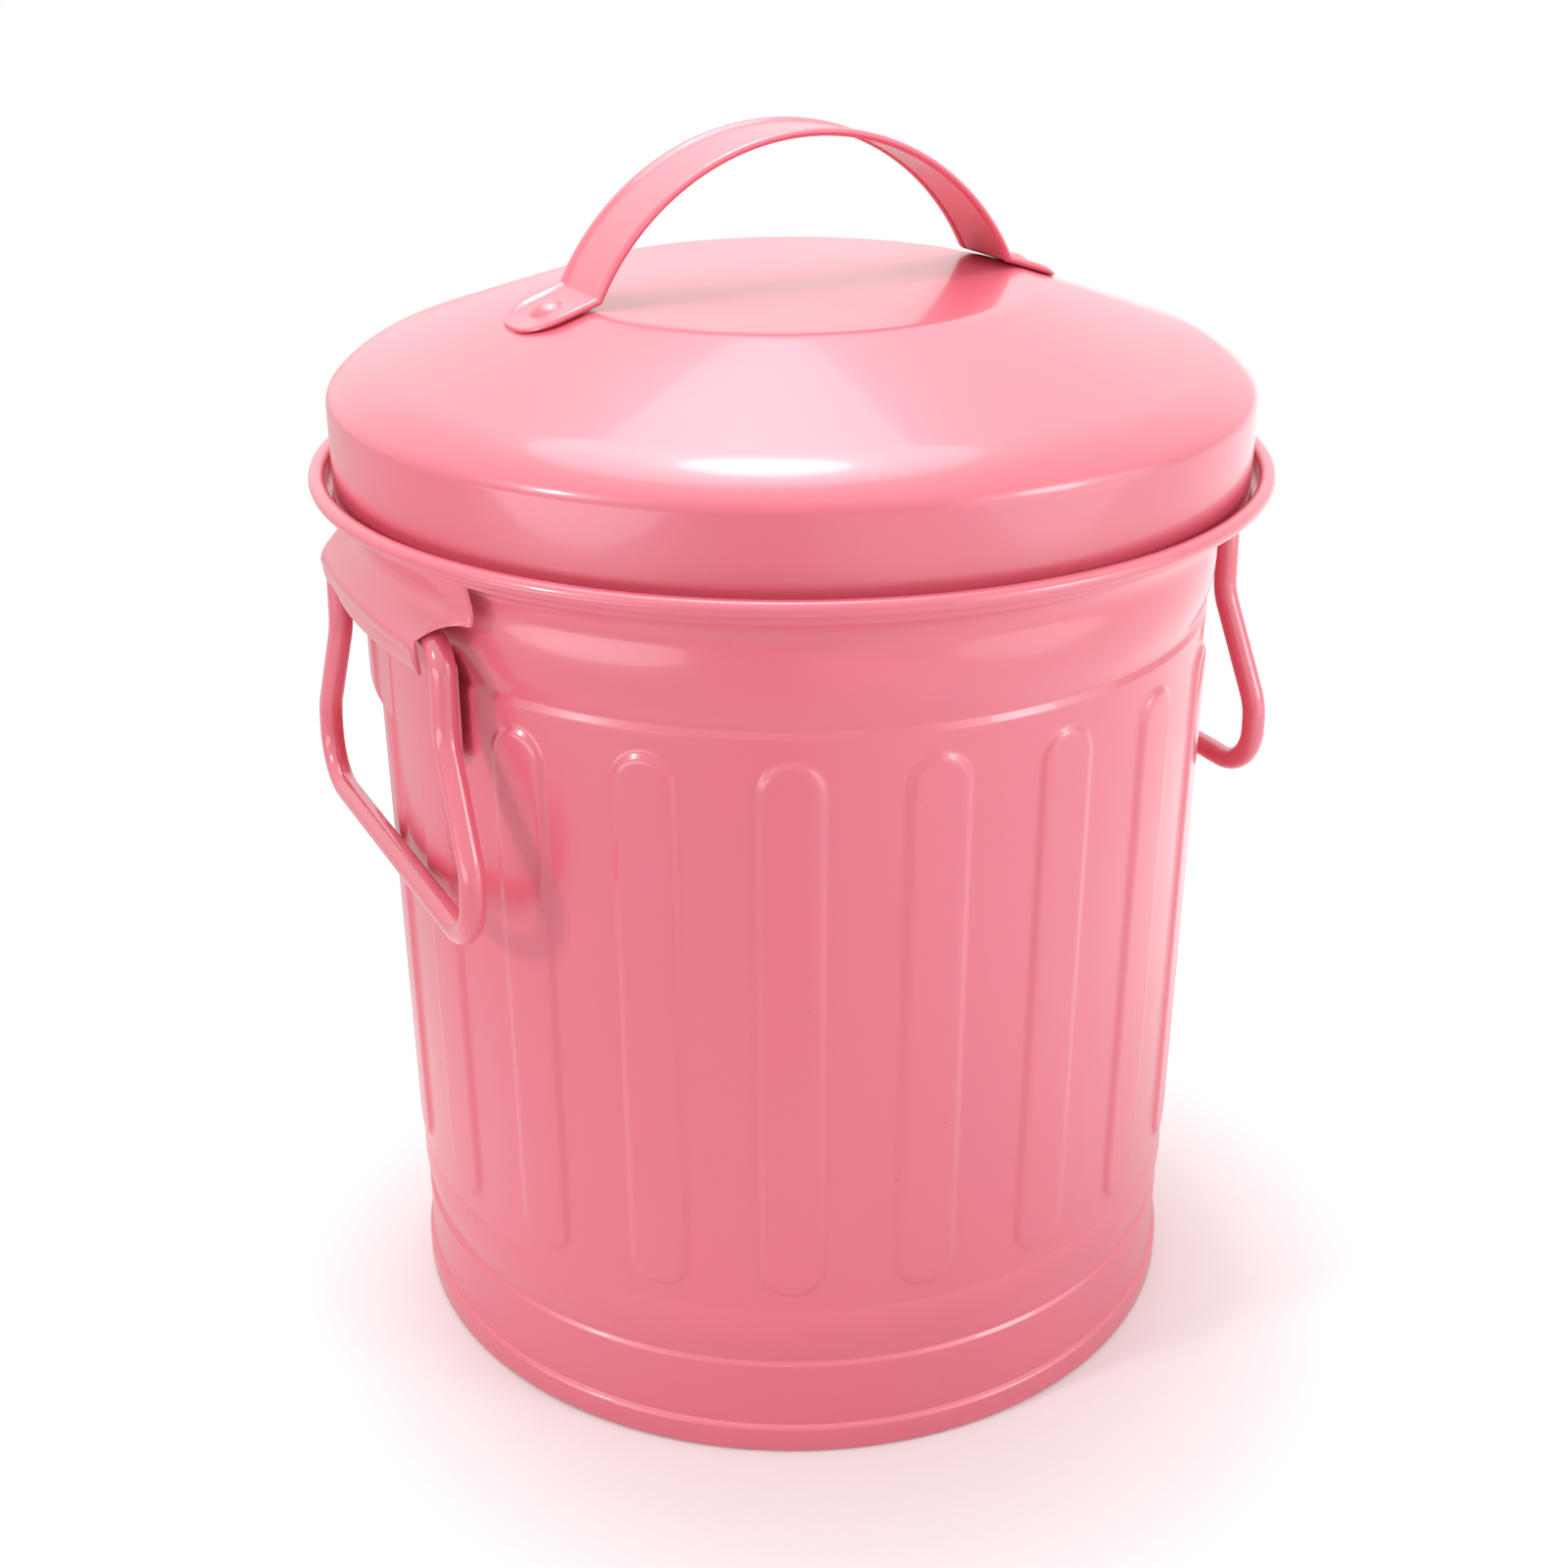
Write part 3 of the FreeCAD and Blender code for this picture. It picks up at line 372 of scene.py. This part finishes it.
def make_can_floor():
    """Closed disc with rounded bends round its raised middle."""
    under = fillet([(0, seam_height + floor_rise, 0), (floor_panel_radius, seam_height + floor_rise, 2.0),
                    (floor_step_radius, seam_height, 2.0), (floor_radius, seam_height, 0.2),
                    (floor_radius, seam_height + floor_sheet, 0.2),
                    (floor_step_radius, seam_height + floor_sheet, 2.0),
                    (floor_panel_radius, seam_height + floor_sheet + floor_rise, 2.0),
                    (0, seam_height + floor_sheet + floor_rise, 0)])
    verts, faces = [], []
    turned(verts, faces, under, floor_columns)
    paint = pink_paint("pink_floor_paint", wave_scale=260, peel_depth=0.05, roughness=(0.26, 0.36))
    make_piece("can_floor", verts, faces, paint, "can")


make_can_floor()

# Ear plates.
# A flatter curved plate spot welded to the ribs behind each drop handle, so that a dark gap shows at its
# sides. It is pressed over the lap of the wall's side seam, which leaves a fine step down its middle.
swing = next(joint for joint in frame["record"]["behaviour"]["joints"]
             if joint["name"] == "right_handle_swing")
pivot_radius = swing["pos_m"][0] / MM
pivot_height = swing["pos_m"][2] / MM
wire_radius = 1.9
neck_half = 25.4
plate_half = neck_half - 3.7
plate_round = 82.0
plate_reach = 67.4
plate_sheet = 0.5
plate_bottom = pivot_height - 19.7
plate_top = pivot_height - wire_radius - 0.7
plate_corner = 2.5
lap_step = 0.18
plate_rows = 12


def on_left(verts):
    """The same vertices turned half round the can, for the piece at -X."""
    return [Vector((-v.x, -v.y, v.z)) for v in verts]


def ease(start, end, spot):
    """Smooth step from 0 at start to 1 at end, with no sudden bend."""
    share = min(max((spot - start) / (end - start), 0.0), 1.0)
    return share ** 3 * (10 - 15 * share + 6 * share ** 2)


def pressed_sheet(offsets, low, high, reach, sheet, rows):
    """Closed sheet over y offsets; low and high bound its height there, and reach gives its outer x."""
    verts, faces = [], []
    base, peak = min(map(low, offsets)), max(map(high, offsets))
    gap = (peak - base) / rows
    skins = []
    for inset in (0, sheet):
        skin = []
        for offset in offsets:
            bottom, top = low(offset), high(offset)
            column = []
            for row in range(rows + 1):
                height = base + gap * row
                if height < bottom + 0.9 * gap:
                    height = bottom
                if height > top - 0.9 * gap:
                    height = top
                verts.append(Vector((reach(offset, height) - inset, offset, height)) * MM)
                column.append(len(verts) - 1)
            skin.append(column)
        skins.append(skin)
    outer, inner = skins
    for first, second, inside_first, inside_second in zip(outer, outer[1:], inner, inner[1:]):
        for row in range(rows):
            faces.append([first[row], second[row], second[row + 1], first[row + 1]])
            faces.append([inside_first[row + 1], inside_second[row + 1],
                          inside_second[row], inside_first[row]])
        faces.append([second[0], first[0], inside_first[0], inside_second[0]])
        faces.append([first[rows], second[rows], inside_second[rows], inside_first[rows]])
    for row in range(rows):
        faces.append([outer[0][row], outer[0][row + 1], inner[0][row + 1], inner[0][row]])
        faces.append([outer[-1][row + 1], outer[-1][row], inner[-1][row], inner[-1][row + 1]])
    return verts, faces


def make_ear_plates():
    """Plate with rounded corners, at +X and -X."""
    straight = plate_half - plate_corner
    corner = [straight + plate_corner * math.sin(math.radians(turn)) for turn in range(0, 91, 10)]
    flat = [straight * step / 16 for step in range(-15, 16) if step not in (-1, 0)]
    lap = [-0.45, -0.3, -0.2, -0.1, 0.0, 0.3]
    offsets = sorted([-offset for offset in corner] + flat + lap + corner)

    def rounding(offset):
        past = max(abs(offset) - straight, 0.0)
        return plate_corner - math.sqrt(max(plate_corner ** 2 - past ** 2, 0.0))

    def reach(offset, height):
        return (plate_reach - plate_round + math.sqrt(plate_round ** 2 - offset ** 2)
                - lap_step * ease(-0.35, -0.05, offset))

    verts, faces = pressed_sheet(offsets, lambda offset: plate_bottom + rounding(offset),
                                 lambda offset: plate_top - rounding(offset), reach, plate_sheet,
                                 plate_rows)
    paint = pink_paint("pink_ear_plate_paint", wave_scale=330, peel_depth=0.05)
    for side, places in (("right", verts), ("left", on_left(verts))):
        make_piece(f"{side}_ear_plate", places, faces, paint, "can", edge=0.12)


make_ear_plates()

# Ear hoods.
# Steel sheet fixed flat under the rim and pressed out below to a bulge, with a rounded cut at each end that
# lets a leg of the drop handle out. The handle's inturned ends turn in the space behind it.
hood_half = neck_half + wire_radius + 1.2
hood_sheet = 0.5
hood_top_inset = 2.3
hood_top_radius = rim_inner_radius - hood_top_inset
hood_top = flare_height - 0.1 + math.sqrt(flare_radius ** 2 - (hood_top_inset + hood_sheet) ** 2)
hood_bulge_height = pivot_height - 1.7
crease_height = pivot_height + 5.0
crease_radius = band_radius + 0.5 + hood_sheet
swell_start = pivot_height + 7.0
swell_fade = (0.78, 1.14)
end_lean = 0.18
lean_fade = (0.5, 1.0)
strip_bend = 76.0
hood_pin_reach = pivot_radius + wire_radius + 1.1 + hood_sheet
hood_crown = 1.1
lip_half = neck_half - wire_radius - 1.4
lip_height = pivot_height - wire_radius - 2.7
lip_tuck = 0.4
arm_height = pivot_height + wire_radius + 1.7
leg_cut_fullness = 0.59
leg_cut_radius = leg_cut_fullness * math.hypot(hood_half - lip_half, arm_height - lip_height)
hood_rows = 44
hood_stations = (
    (0.0, hood_pin_reach + hood_crown, lip_tuck),
    (0.34, hood_pin_reach + 0.75 * hood_crown, 1.3 * lip_tuck),
    (0.67, hood_pin_reach, 2 * lip_tuck),
    (1.0, hood_pin_reach - 0.4, lip_tuck),
)


def through_stations(share, column):
    """Smooth curve through one column of the hood's stations, even about the middle."""
    known = [(-station[0], station[column]) for station in hood_stations[:0:-1]]
    known += [(station[0], station[column]) for station in hood_stations]
    known = [(2 * known[0][0] - known[1][0], 2 * known[0][1] - known[1][1])] + known
    known.append((2 * known[-1][0] - known[-2][0], 2 * known[-1][1] - known[-2][1]))
    last = len(known) - 3
    place = next(spot for spot in range(1, last + 1) if share <= known[spot + 1][0] or spot == last)
    (x0, y0), (x1, y1), (x2, y2), (x3, y3) = known[place - 1:place + 3]
    step = (share - x1) / (x2 - x1)
    slope_in = (y2 - y0) / (x2 - x0) * (x2 - x1)
    slope_out = (y3 - y1) / (x3 - x1) * (x2 - x1)
    cube, square = step ** 3, step ** 2
    return ((2 * cube - 3 * square + 1) * y1 + (cube - 2 * square + step) * slope_in
            + (3 * square - 2 * cube) * y2 + (cube - square) * slope_out)


def make_ear_hoods():
    """Hood whose section swells from a flat strip under the rim to its lip, with flat ends."""
    cut_start = Vector((lip_half, lip_height))
    cut_half = (Vector((hood_half, arm_height)) - cut_start) / 2
    drop = math.sqrt(leg_cut_radius ** 2 - cut_half.length_squared)
    cut_middle = cut_start + cut_half + Vector((cut_half.y, -cut_half.x)).normalized() * drop
    first = math.atan2(cut_start.y - cut_middle.y, cut_start.x - cut_middle.x) % (2 * math.pi)
    last = math.atan2(arm_height - cut_middle.y, hood_half - cut_middle.x)
    turns = [first + (last - first) * step / 30 for step in range(31)]
    arm = [cut_middle.x + leg_cut_radius * math.cos(turn) for turn in turns[:-1]]
    arm = [lip_half] + [offset for offset in arm if offset > lip_half + 0.3] + [hood_half]
    flat = [lip_half * step / 14 for step in range(-13, 14)]
    offsets = [-offset for offset in arm[::-1]] + flat + arm

    def low(offset):
        if abs(offset) <= lip_half:
            return lip_height
        return cut_middle.y + math.sqrt(max(leg_cut_radius ** 2 - (abs(offset) - cut_middle.x) ** 2, 0.0))

    def reach(offset, height):
        share = offset / hood_half
        fullest = through_stations(share, 1)
        fall = strip_bend - math.sqrt(strip_bend ** 2 - offset ** 2)
        top = hood_top_radius - fall
        lean = (hood_top_radius - crease_radius) / (hood_top - crease_height)
        lean += (end_lean - lean) * ease(*lean_fade, abs(share))
        if height < hood_bulge_height:
            tuck = (hood_bulge_height - height) / (hood_bulge_height - lip_height)
            return reach(offset, hood_bulge_height) - through_stations(share, 2) * tuck ** 2
        swell = fullest - top + lean * (hood_top - hood_bulge_height)
        swell *= 1 - ease(*swell_fade, abs(share))
        return top - lean * (hood_top - height) + swell * ease(swell_start, hood_bulge_height, height)

    verts, faces = pressed_sheet(offsets, low, lambda offset: hood_top, reach, hood_sheet, hood_rows)
    paint = pink_paint("pink_hood_paint", wave_scale=330, peel_depth=0.05)
    for side, places in (("right", verts), ("left", on_left(verts))):
        make_piece(f"{side}_ear_hood", places, faces, paint, "can", edge=0.16)


make_ear_hoods()

# Drop handles.
# One steel wire bent to a narrow neck and a wide grip, with two inturned ends that turn behind the hood,
# painted pink like the can.
pin_inner = neck_half - 9.4
neck_bend = 3.8
kink_high = 13.0
kink_radius = 9.0
grip_half = 35.0
grip_drop = 42.2
grip_bend = 8.0
kink_low = grip_drop - 12.2
grip_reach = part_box("right_handle")[1].x / MM - wire_radius
handle_lean = math.asin((grip_reach - pivot_radius) / grip_drop)
wire_sides = 24


def swept_wire(path, radius):
    """Round wire along points (across, up) from its pivot, with softly domed ends, leaning out from it."""
    verts, faces, rings = [], [], []
    pivot = Vector((pivot_radius, 0, pivot_height))
    lean_out = Matrix.Rotation(-handle_lean, 3, "Y")
    tangents = [(path[min(place + 1, len(path) - 1)] - path[max(place - 1, 0)]).normalized()
                for place in range(len(path))]
    domes = [(0.0, 0.55), (0.12, 0.8), (0.35, 0.95)]
    stations = [(path[0] + tangents[0] * radius * along, tangents[0], radius * size) for along, size in domes]
    stations += [(point, tangent, radius) for point, tangent in zip(path[1:-1], tangents[1:-1])]
    stations += [(path[-1] - tangents[-1] * radius * along, tangents[-1], radius * size)
                 for along, size in domes[::-1]]
    for point, tangent, size in stations:
        first = len(verts)
        for side in range(wire_sides):
            turn = 2 * math.pi * side / wire_sides
            across = size * math.cos(turn)
            spot = Vector((size * math.sin(turn), point.x - tangent.y * across, point.y + tangent.x * across))
            verts.append((pivot + lean_out @ spot) * MM)
        rings.append(list(range(first, first + wire_sides)))
    for lower, upper in zip(rings, rings[1:]):
        bridge(faces, lower, upper)
    faces.append(rings[0])
    faces.append(rings[-1][::-1])
    return verts, faces


def make_drop_handles():
    """Wire along one mirrored route: inturned end, neck, kinks, grip bar."""
    half = [(pin_inner, 0, 0), (neck_half, 0, neck_bend), (neck_half, -kink_high, kink_radius),
            (grip_half, -kink_low, kink_radius), (grip_half, -grip_drop, grip_bend)]
    route = half + [(-across, up, bend) for across, up, bend in half[::-1]]
    bends = fillet(route, steps=14)
    path = []
    for start, end in zip(bends, bends[1:]):
        runs = max(1, round((end - start).length / 3))
        path += [start.lerp(end, run / runs) for run in range(runs)]
    verts, faces = swept_wire(path + [bends[-1]], wire_radius)
    paint = pink_paint("pink_wire_paint", wave_scale=300, peel_depth=0.06, roughness=(0.16, 0.26))
    for side, places in (("right", verts), ("left", on_left(verts))):
        make_piece(f"{side}_handle", places, faces, paint, f"{side}_handle")


make_drop_handles()

# Lid shell.
# Pressed steel lid: flat top, cone that rounds over to a tight shoulder, and a skirt that stands on the flare
# inside the rim bead.
lid_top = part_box("lid_shell")[1].z / MM
lid_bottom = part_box("lid_shell")[0].z / MM
lid_skirt_radius = rim_inner_radius - 1.1
lid_top_radius = 36.7
lid_sheet = 0.6
cone_angle = math.radians(18.5)
rounding_inset = 7.9
rounding_angle = math.radians(47)
shoulder_radius = 3.2
top_edge_radius = 9.0
lid_columns = 240


def cone_height(reach):
    """Height of the lid's cone, outside, at a distance from the axis."""
    return lid_top - (reach - lid_top_radius) * math.tan(cone_angle)


def lid_side(sheet):
    """Points from the lid's skirt over its shoulder and rounding to the cone; sheet moves them in."""
    cone_end = lid_skirt_radius - rounding_inset
    rounding_end = lid_skirt_radius - shoulder_radius * (1 - math.sin(rounding_angle))
    radius = (rounding_end - cone_end) / (math.sin(rounding_angle) - math.sin(cone_angle))
    middle = (cone_end - radius * math.sin(cone_angle), cone_height(cone_end) - radius * math.cos(cone_angle))
    inward = radius - shoulder_radius
    bend = (middle[0] + inward * math.sin(rounding_angle), middle[1] + inward * math.cos(rounding_angle))
    turns = [90 - math.degrees(turn) for turn in (rounding_angle, cone_angle)]
    side = arc(bend, shoulder_radius - sheet, 0, turns[0], 12)
    return side + arc(middle, radius - sheet, turns[0], turns[1], 16)[1:]


def make_lid_shell():
    """Closed shell of the lid with its bends rounded inside and out."""
    knee = lid_sheet * math.tan(cone_angle / 2)
    skins = []
    for sheet, inset in ((0.0, 0.0), (lid_sheet, knee)):
        side = lid_side(sheet)
        cone = fillet([(*side[-1], 0), (lid_top_radius - inset, lid_top - sheet, top_edge_radius),
                       (0, lid_top - sheet, 0)], steps=10)
        skins.append([Vector((lid_skirt_radius - sheet, lid_bottom))] + side + cone[1:])
    outside, inside = skins
    verts, faces = [], []
    outer_ring, _ = turned(verts, faces, outside, lid_columns)
    _, inner_ring = turned(verts, faces, inside[::-1], lid_columns)
    bridge(faces, inner_ring, outer_ring)
    paint = pink_paint("pink_lid_paint", wave_scale=300, peel_depth=0.05, pits=0.4)
    make_piece("lid_shell", verts, faces, paint, "lid", edge=0.12)


make_lid_shell()

# Lid strap.
# Steel strip with both edges rolled, bent to an arch. Its feet are pressed flat on the cone for the rivets,
# and there the rolled edges fade out towards a rounded tip.
strap_half = 7.6
strap_thick = 1.2
strap_sheet = 0.6
strip_height = 0.76
roll_width = 1.9
roll_fade = (0.0, 6.5)
arch_rise = 23.2
bend_reach = lid_top_radius - 1.3 - strap_thick - 0.12
foot_reach = lid_top_radius + 8.8
foot_corner = 6.0
foot_fade = (8.0, 13.0)
foot_bend = 1.2


def strap_section(half, foot, tip):
    """Half section round the rolled edge; foot presses the middle flat and tip flattens the roll."""
    middle_top = strip_height - (strip_height - strap_sheet) * foot
    middle_under = 0.2 * (1 - foot)
    roll_top = strap_thick - (strap_thick - strap_sheet) * tip
    size = min(1.0, half / 5)
    step = half - roll_width * size
    rounding = [(0.75, 1.0), (0.4, 0.93), (0.12, 0.73), (0.0, 0.5), (0.12, 0.27), (0.4, 0.07), (0.75, 0.0)]
    section = [(0, middle_top), (step - 0.55 * size, middle_top),
               (step - 0.1 * size, middle_top + 0.05 * foot),
               (step + 0.3 * size, middle_top + 0.8 * (roll_top - middle_top)),
               (step + 0.65 * size, roll_top)]
    section += [(half - inset * size, roll_top * share) for inset, share in rounding]
    return section + [(step + 0.3 * size, 0), (step + 0.05 * size, 0.3 * middle_under),
                      (step - 0.05 * size, middle_under), (0, middle_under)]


def make_lid_strap():
    """Strap swept along its underside: foot, bend, arch, bend, foot."""
    arch_under = lid_top + arch_rise - strap_thick
    bend = Vector((bend_reach, cone_height(bend_reach)))
    rise = arch_under - bend.y
    radius = (bend.x ** 2 + rise ** 2) / (2 * rise)
    reach = math.degrees(math.asin(bend.x / radius))
    arch = arc((0, arch_under - radius), radius, 90 - reach, 90 + reach, 60)
    tip = (foot_reach, cone_height(foot_reach))
    route = [(*tip, 0), (*arch[0], foot_bend)] + [(*point, 0) for point in arch[2:-2]]
    route += [(*arch[-1], foot_bend), (-tip[0], tip[1], 0)]
    bends = fillet(route, steps=8)
    foot_marks = [0, 0.15, 0.45, 0.9, 1.5, 2.2, 3.0, 4.0, 5.0, 6.2, 7.4, 8.6, 9.6]
    ahead = (bends[1] - bends[0]).normalized()
    path = [bends[0] + ahead * mark for mark in foot_marks] + bends[1:-1]
    back = (bends[-2] - bends[-1]).normalized()
    path += [bends[-1] + back * mark for mark in foot_marks[::-1]]
    verts, faces, rings = [], [], []
    for place, point in enumerate(path):
        along = path[min(place + 1, len(path) - 1)] - path[max(place - 1, 0)]
        normal = Vector((along.y, -along.x)).normalized()
        from_tip = min((point - path[0]).length, (point - path[-1]).length)
        short = max(foot_corner - from_tip, 0.0)
        half = strap_half - foot_corner + math.sqrt(foot_corner ** 2 - short ** 2)
        section = strap_section(half, 1 - ease(*foot_fade, from_tip), 1 - ease(*roll_fade, from_tip))
        loop = section + [(-across, height) for across, height in section[-2:0:-1]]
        first = len(verts)
        for across, height in loop:
            spot = point + normal * height
            verts.append(Vector((spot.x, across, spot.y)) * MM)
        rings.append(list(range(first, first + len(loop))))
    for lower, upper in zip(rings, rings[1:]):
        bridge(faces, lower, upper)
    faces += [rings[0], rings[-1][::-1]]
    paint = pink_paint("pink_strap_paint", wave_scale=340, peel_depth=0.05)
    make_piece("lid_strap", verts, faces, paint, "lid")


make_lid_strap()

# Lid rivets.
# Low domed steel rivets, one through each strap foot and the lid, painted over with them.
rivet_reach = lid_top_radius + 3.2
rivet_head_radius = 2.6
rivet_head_height = 1.1
rivet_shank_radius = 1.2
rivet_tail_radius = 2.2
rivet_tail_height = 0.6
rivet_columns = 40


def make_lid_rivets():
    """Rivet turned about its own axis, then set square to the cone."""
    tail_top = -lid_sheet - 0.05
    tail = tail_top - rivet_tail_height
    outline = fillet([(0, tail, 0), (rivet_tail_radius, tail, 0.25), (rivet_tail_radius, tail_top, 0.1),
                      (rivet_shank_radius, tail_top, 0), (rivet_shank_radius, strap_sheet, 0),
                      (rivet_head_radius, strap_sheet, 0)], steps=4)
    head = (rivet_head_radius ** 2 + rivet_head_height ** 2) / (2 * rivet_head_height)
    spread = math.degrees(math.asin(rivet_head_radius / head))
    dome = arc((0, strap_sheet + rivet_head_height - head), head, 90 - spread, 90, 10)
    verts, faces = [], []
    crown = Vector((0, strap_sheet + rivet_head_height))
    turned(verts, faces, outline + dome[1:-1] + [crown], rivet_columns)
    paint = pink_paint("pink_rivet_paint", wave_scale=420, peel_depth=0.04)
    seat = Vector((rivet_reach, 0, cone_height(rivet_reach))) * MM
    square = Matrix.Rotation(cone_angle, 3, "Y")
    placed = [square @ v + seat for v in verts]
    for side, places in (("right", placed), ("left", on_left(placed))):
        make_piece(f"lid_rivet_{side}", places, faces, paint, "lid")


make_lid_rivets()

# Studio.
# Plain pale floor that glows by emission in reflections, brighter to the right, as a painted reflection of
# light;
# white surround, round soft lamps and low cards at both sides, two lamps above, and the camera at the
# photograph's angle.
floor_half = 3.0
camera_turn = math.radians(27)
camera_distance = 334.67
camera_height = 236.85
camera_pitch = math.radians(24.32)
camera_yaw = -0.0040
camera_roll = -0.0026
camera_lens = 50.1
lamp_aim = Vector((0, 0, 0.09))


def make_floor():
    """Large pale floor that fades to white away from the can; in reflections it glows by emission, brighter
    to the right, as a painted reflection of light from that side.
    """
    mesh = bpy.data.meshes.new("studio_floor")
    corners = [(-floor_half, -floor_half, 0), (floor_half, -floor_half, 0),
               (floor_half, floor_half, 0), (-floor_half, floor_half, 0)]
    mesh.from_pydata(corners, [], [(0, 1, 2, 3)])
    material = bpy.data.materials.new("pale_floor")
    material.use_nodes = True
    material.cycles.emission_sampling = "NONE"
    shader = material.node_tree.nodes["Principled BSDF"]
    shader.inputs["Roughness"].default_value = 0.7
    tree = material.node_tree
    spot = add_node(tree, "ShaderNodeTexCoord").outputs["Object"]
    away = add_node(tree, "ShaderNodeVectorMath", {"operation": "LENGTH"}, _0=spot)
    path = add_node(tree, "ShaderNodeLightPath")
    camera_ray, glossy_ray = path.outputs["Is Camera Ray"], path.outputs["Is Glossy Ray"]
    grey = add_node(tree, "ShaderNodeMix", _0=camera_ray, _2=0.75, _3=0.95)
    tree.links.new(grey.outputs[0], shader.inputs["Base Color"])
    # Camera rays see the floor fade to plain white from 0.14 m out. Glossy rays see it glow by emission from
    # 0.09 m out, brighter to the right: painted reflection of light from a glowing floor, not a lamp.
    far = add_node(tree, "ShaderNodeMapRange", Value=away.outputs["Value"], From_Min=0.14, From_Max=0.36)
    near = add_node(tree, "ShaderNodeMapRange", Value=away.outputs["Value"], From_Min=0.09, From_Max=0.2)
    seen = add_node(tree, "ShaderNodeMath", {"operation": "MULTIPLY"}, _0=far.outputs[0], _1=camera_ray)
    share = add_node(tree, "ShaderNodeMath", {"operation": "MULTIPLY_ADD"}, _0=near.outputs[0], _1=glossy_ray,
                     _2=seen.outputs[0])
    right = (math.cos(camera_turn), -math.sin(camera_turn), 0)
    side = add_node(tree, "ShaderNodeVectorMath", {"operation": "DOT_PRODUCT"}, _0=spot, _1=right)
    painted_reflection_glow = add_node(tree, "ShaderNodeMapRange", Value=side.outputs["Value"], From_Min=0.0, From_Max=0.16,
                    To_Min=0.7, To_Max=1.45)
    strength = add_node(tree, "ShaderNodeMix", _0=glossy_ray, _2=1.0, _3=painted_reflection_glow.outputs[0])
    white = add_node(tree, "ShaderNodeEmission", Color=(1, 1, 1, 1), Strength=strength.outputs[0])
    mix = add_node(tree, "ShaderNodeMixShader", _0=share.outputs[0], _1=shader.outputs["BSDF"],
                   _2=white.outputs["Emission"])
    tree.links.new(mix.outputs["Shader"], tree.nodes["Material Output"].inputs["Surface"])
    mesh.materials.append(material)
    floor = bpy.data.objects.new("studio_floor", mesh)
    bpy.context.scene.collection.objects.link(floor)


def make_world():
    """White surround for the camera, and a softer one that brightens overhead for light and reflections."""
    world = bpy.data.worlds.new("studio")
    bpy.context.scene.world = world
    world.use_nodes = True
    tree = world.node_tree
    tree.nodes["Background"].inputs["Color"].default_value = (1, 1, 1, 1)
    world.cycles.sampling_method = "NONE"
    path = add_node(tree, "ShaderNodeLightPath")
    heading = add_node(tree, "ShaderNodeTexCoord").outputs["Generated"]
    rise = add_node(tree, "ShaderNodeSeparateXYZ", Vector=heading)
    light = add_node(tree, "ShaderNodeMapRange", Value=rise.outputs["Z"], To_Min=0.32, To_Max=0.64)
    gloss = add_node(tree, "ShaderNodeMapRange", Value=rise.outputs["Z"], To_Min=1.0, To_Max=2.0)
    lit = add_node(tree, "ShaderNodeMix", _0=path.outputs["Is Glossy Ray"], _2=light.outputs[0],
                   _3=gloss.outputs[0])
    strength = add_node(tree, "ShaderNodeMix", _0=path.outputs["Is Camera Ray"], _2=lit.outputs[0], _3=1.0)
    tree.links.new(strength.outputs[0], tree.nodes["Background"].inputs["Strength"])


def make_soft_box(name, turn, distance, height, size, power):
    """Area light at an angle round the can from the camera's side, aimed at the can."""
    lamp = bpy.data.lights.new(name, "AREA")
    lamp.shape = "ELLIPSE"
    lamp.size, lamp.size_y = size
    lamp.energy = power
    box = bpy.data.objects.new(name, lamp)
    heading = camera_turn + math.radians(turn)
    box.location = (-distance * math.sin(heading), -distance * math.cos(heading), height)
    box.rotation_euler = (lamp_aim - box.location).to_track_quat("-Z", "Y").to_euler()
    bpy.context.scene.collection.objects.link(box)


def make_camera():
    """Camera where the photograph was taken from."""
    camera = bpy.data.cameras.new("camera")
    camera.lens = camera_lens
    camera.sensor_width = 36
    camera.clip_start = 0.01
    place = bpy.data.objects.new("camera", camera)
    aim = Matrix.Rotation(-camera_turn - camera_yaw, 4, "Z")
    aim = aim @ Matrix.Rotation(math.pi / 2 - camera_pitch, 4, "X")
    spot = Vector((-math.sin(camera_turn), -math.cos(camera_turn), 0)) * camera_distance
    spot.z = camera_height
    place.matrix_world = Matrix.Translation(spot * MM) @ aim @ Matrix.Rotation(camera_roll, 4, "Z")
    bpy.context.scene.collection.objects.link(place)
    bpy.context.scene.camera = place


make_floor()
make_world()
make_soft_box("left_lamp", 57, 0.8, 0.5, (0.12, 0.12), 1.7)
make_soft_box("left_card", 48, 0.45, 0.07, (0.4, 0.12), 0.32)
make_soft_box("right_box", -62, 0.9, 0.45, (0.3, 0.3), 1.4)
make_soft_box("right_card", -60, 0.4, 0.18, (0.4, 0.36), 0.4)
make_soft_box("top_box", 160, 0.24, 1.05, (0.9, 0.9), 5.4)
make_soft_box("top_lamp", 160, 0.14, 0.98, (0.3, 0.3), 1.8)
make_camera()
bpy.context.scene.view_settings.view_transform = "Standard"
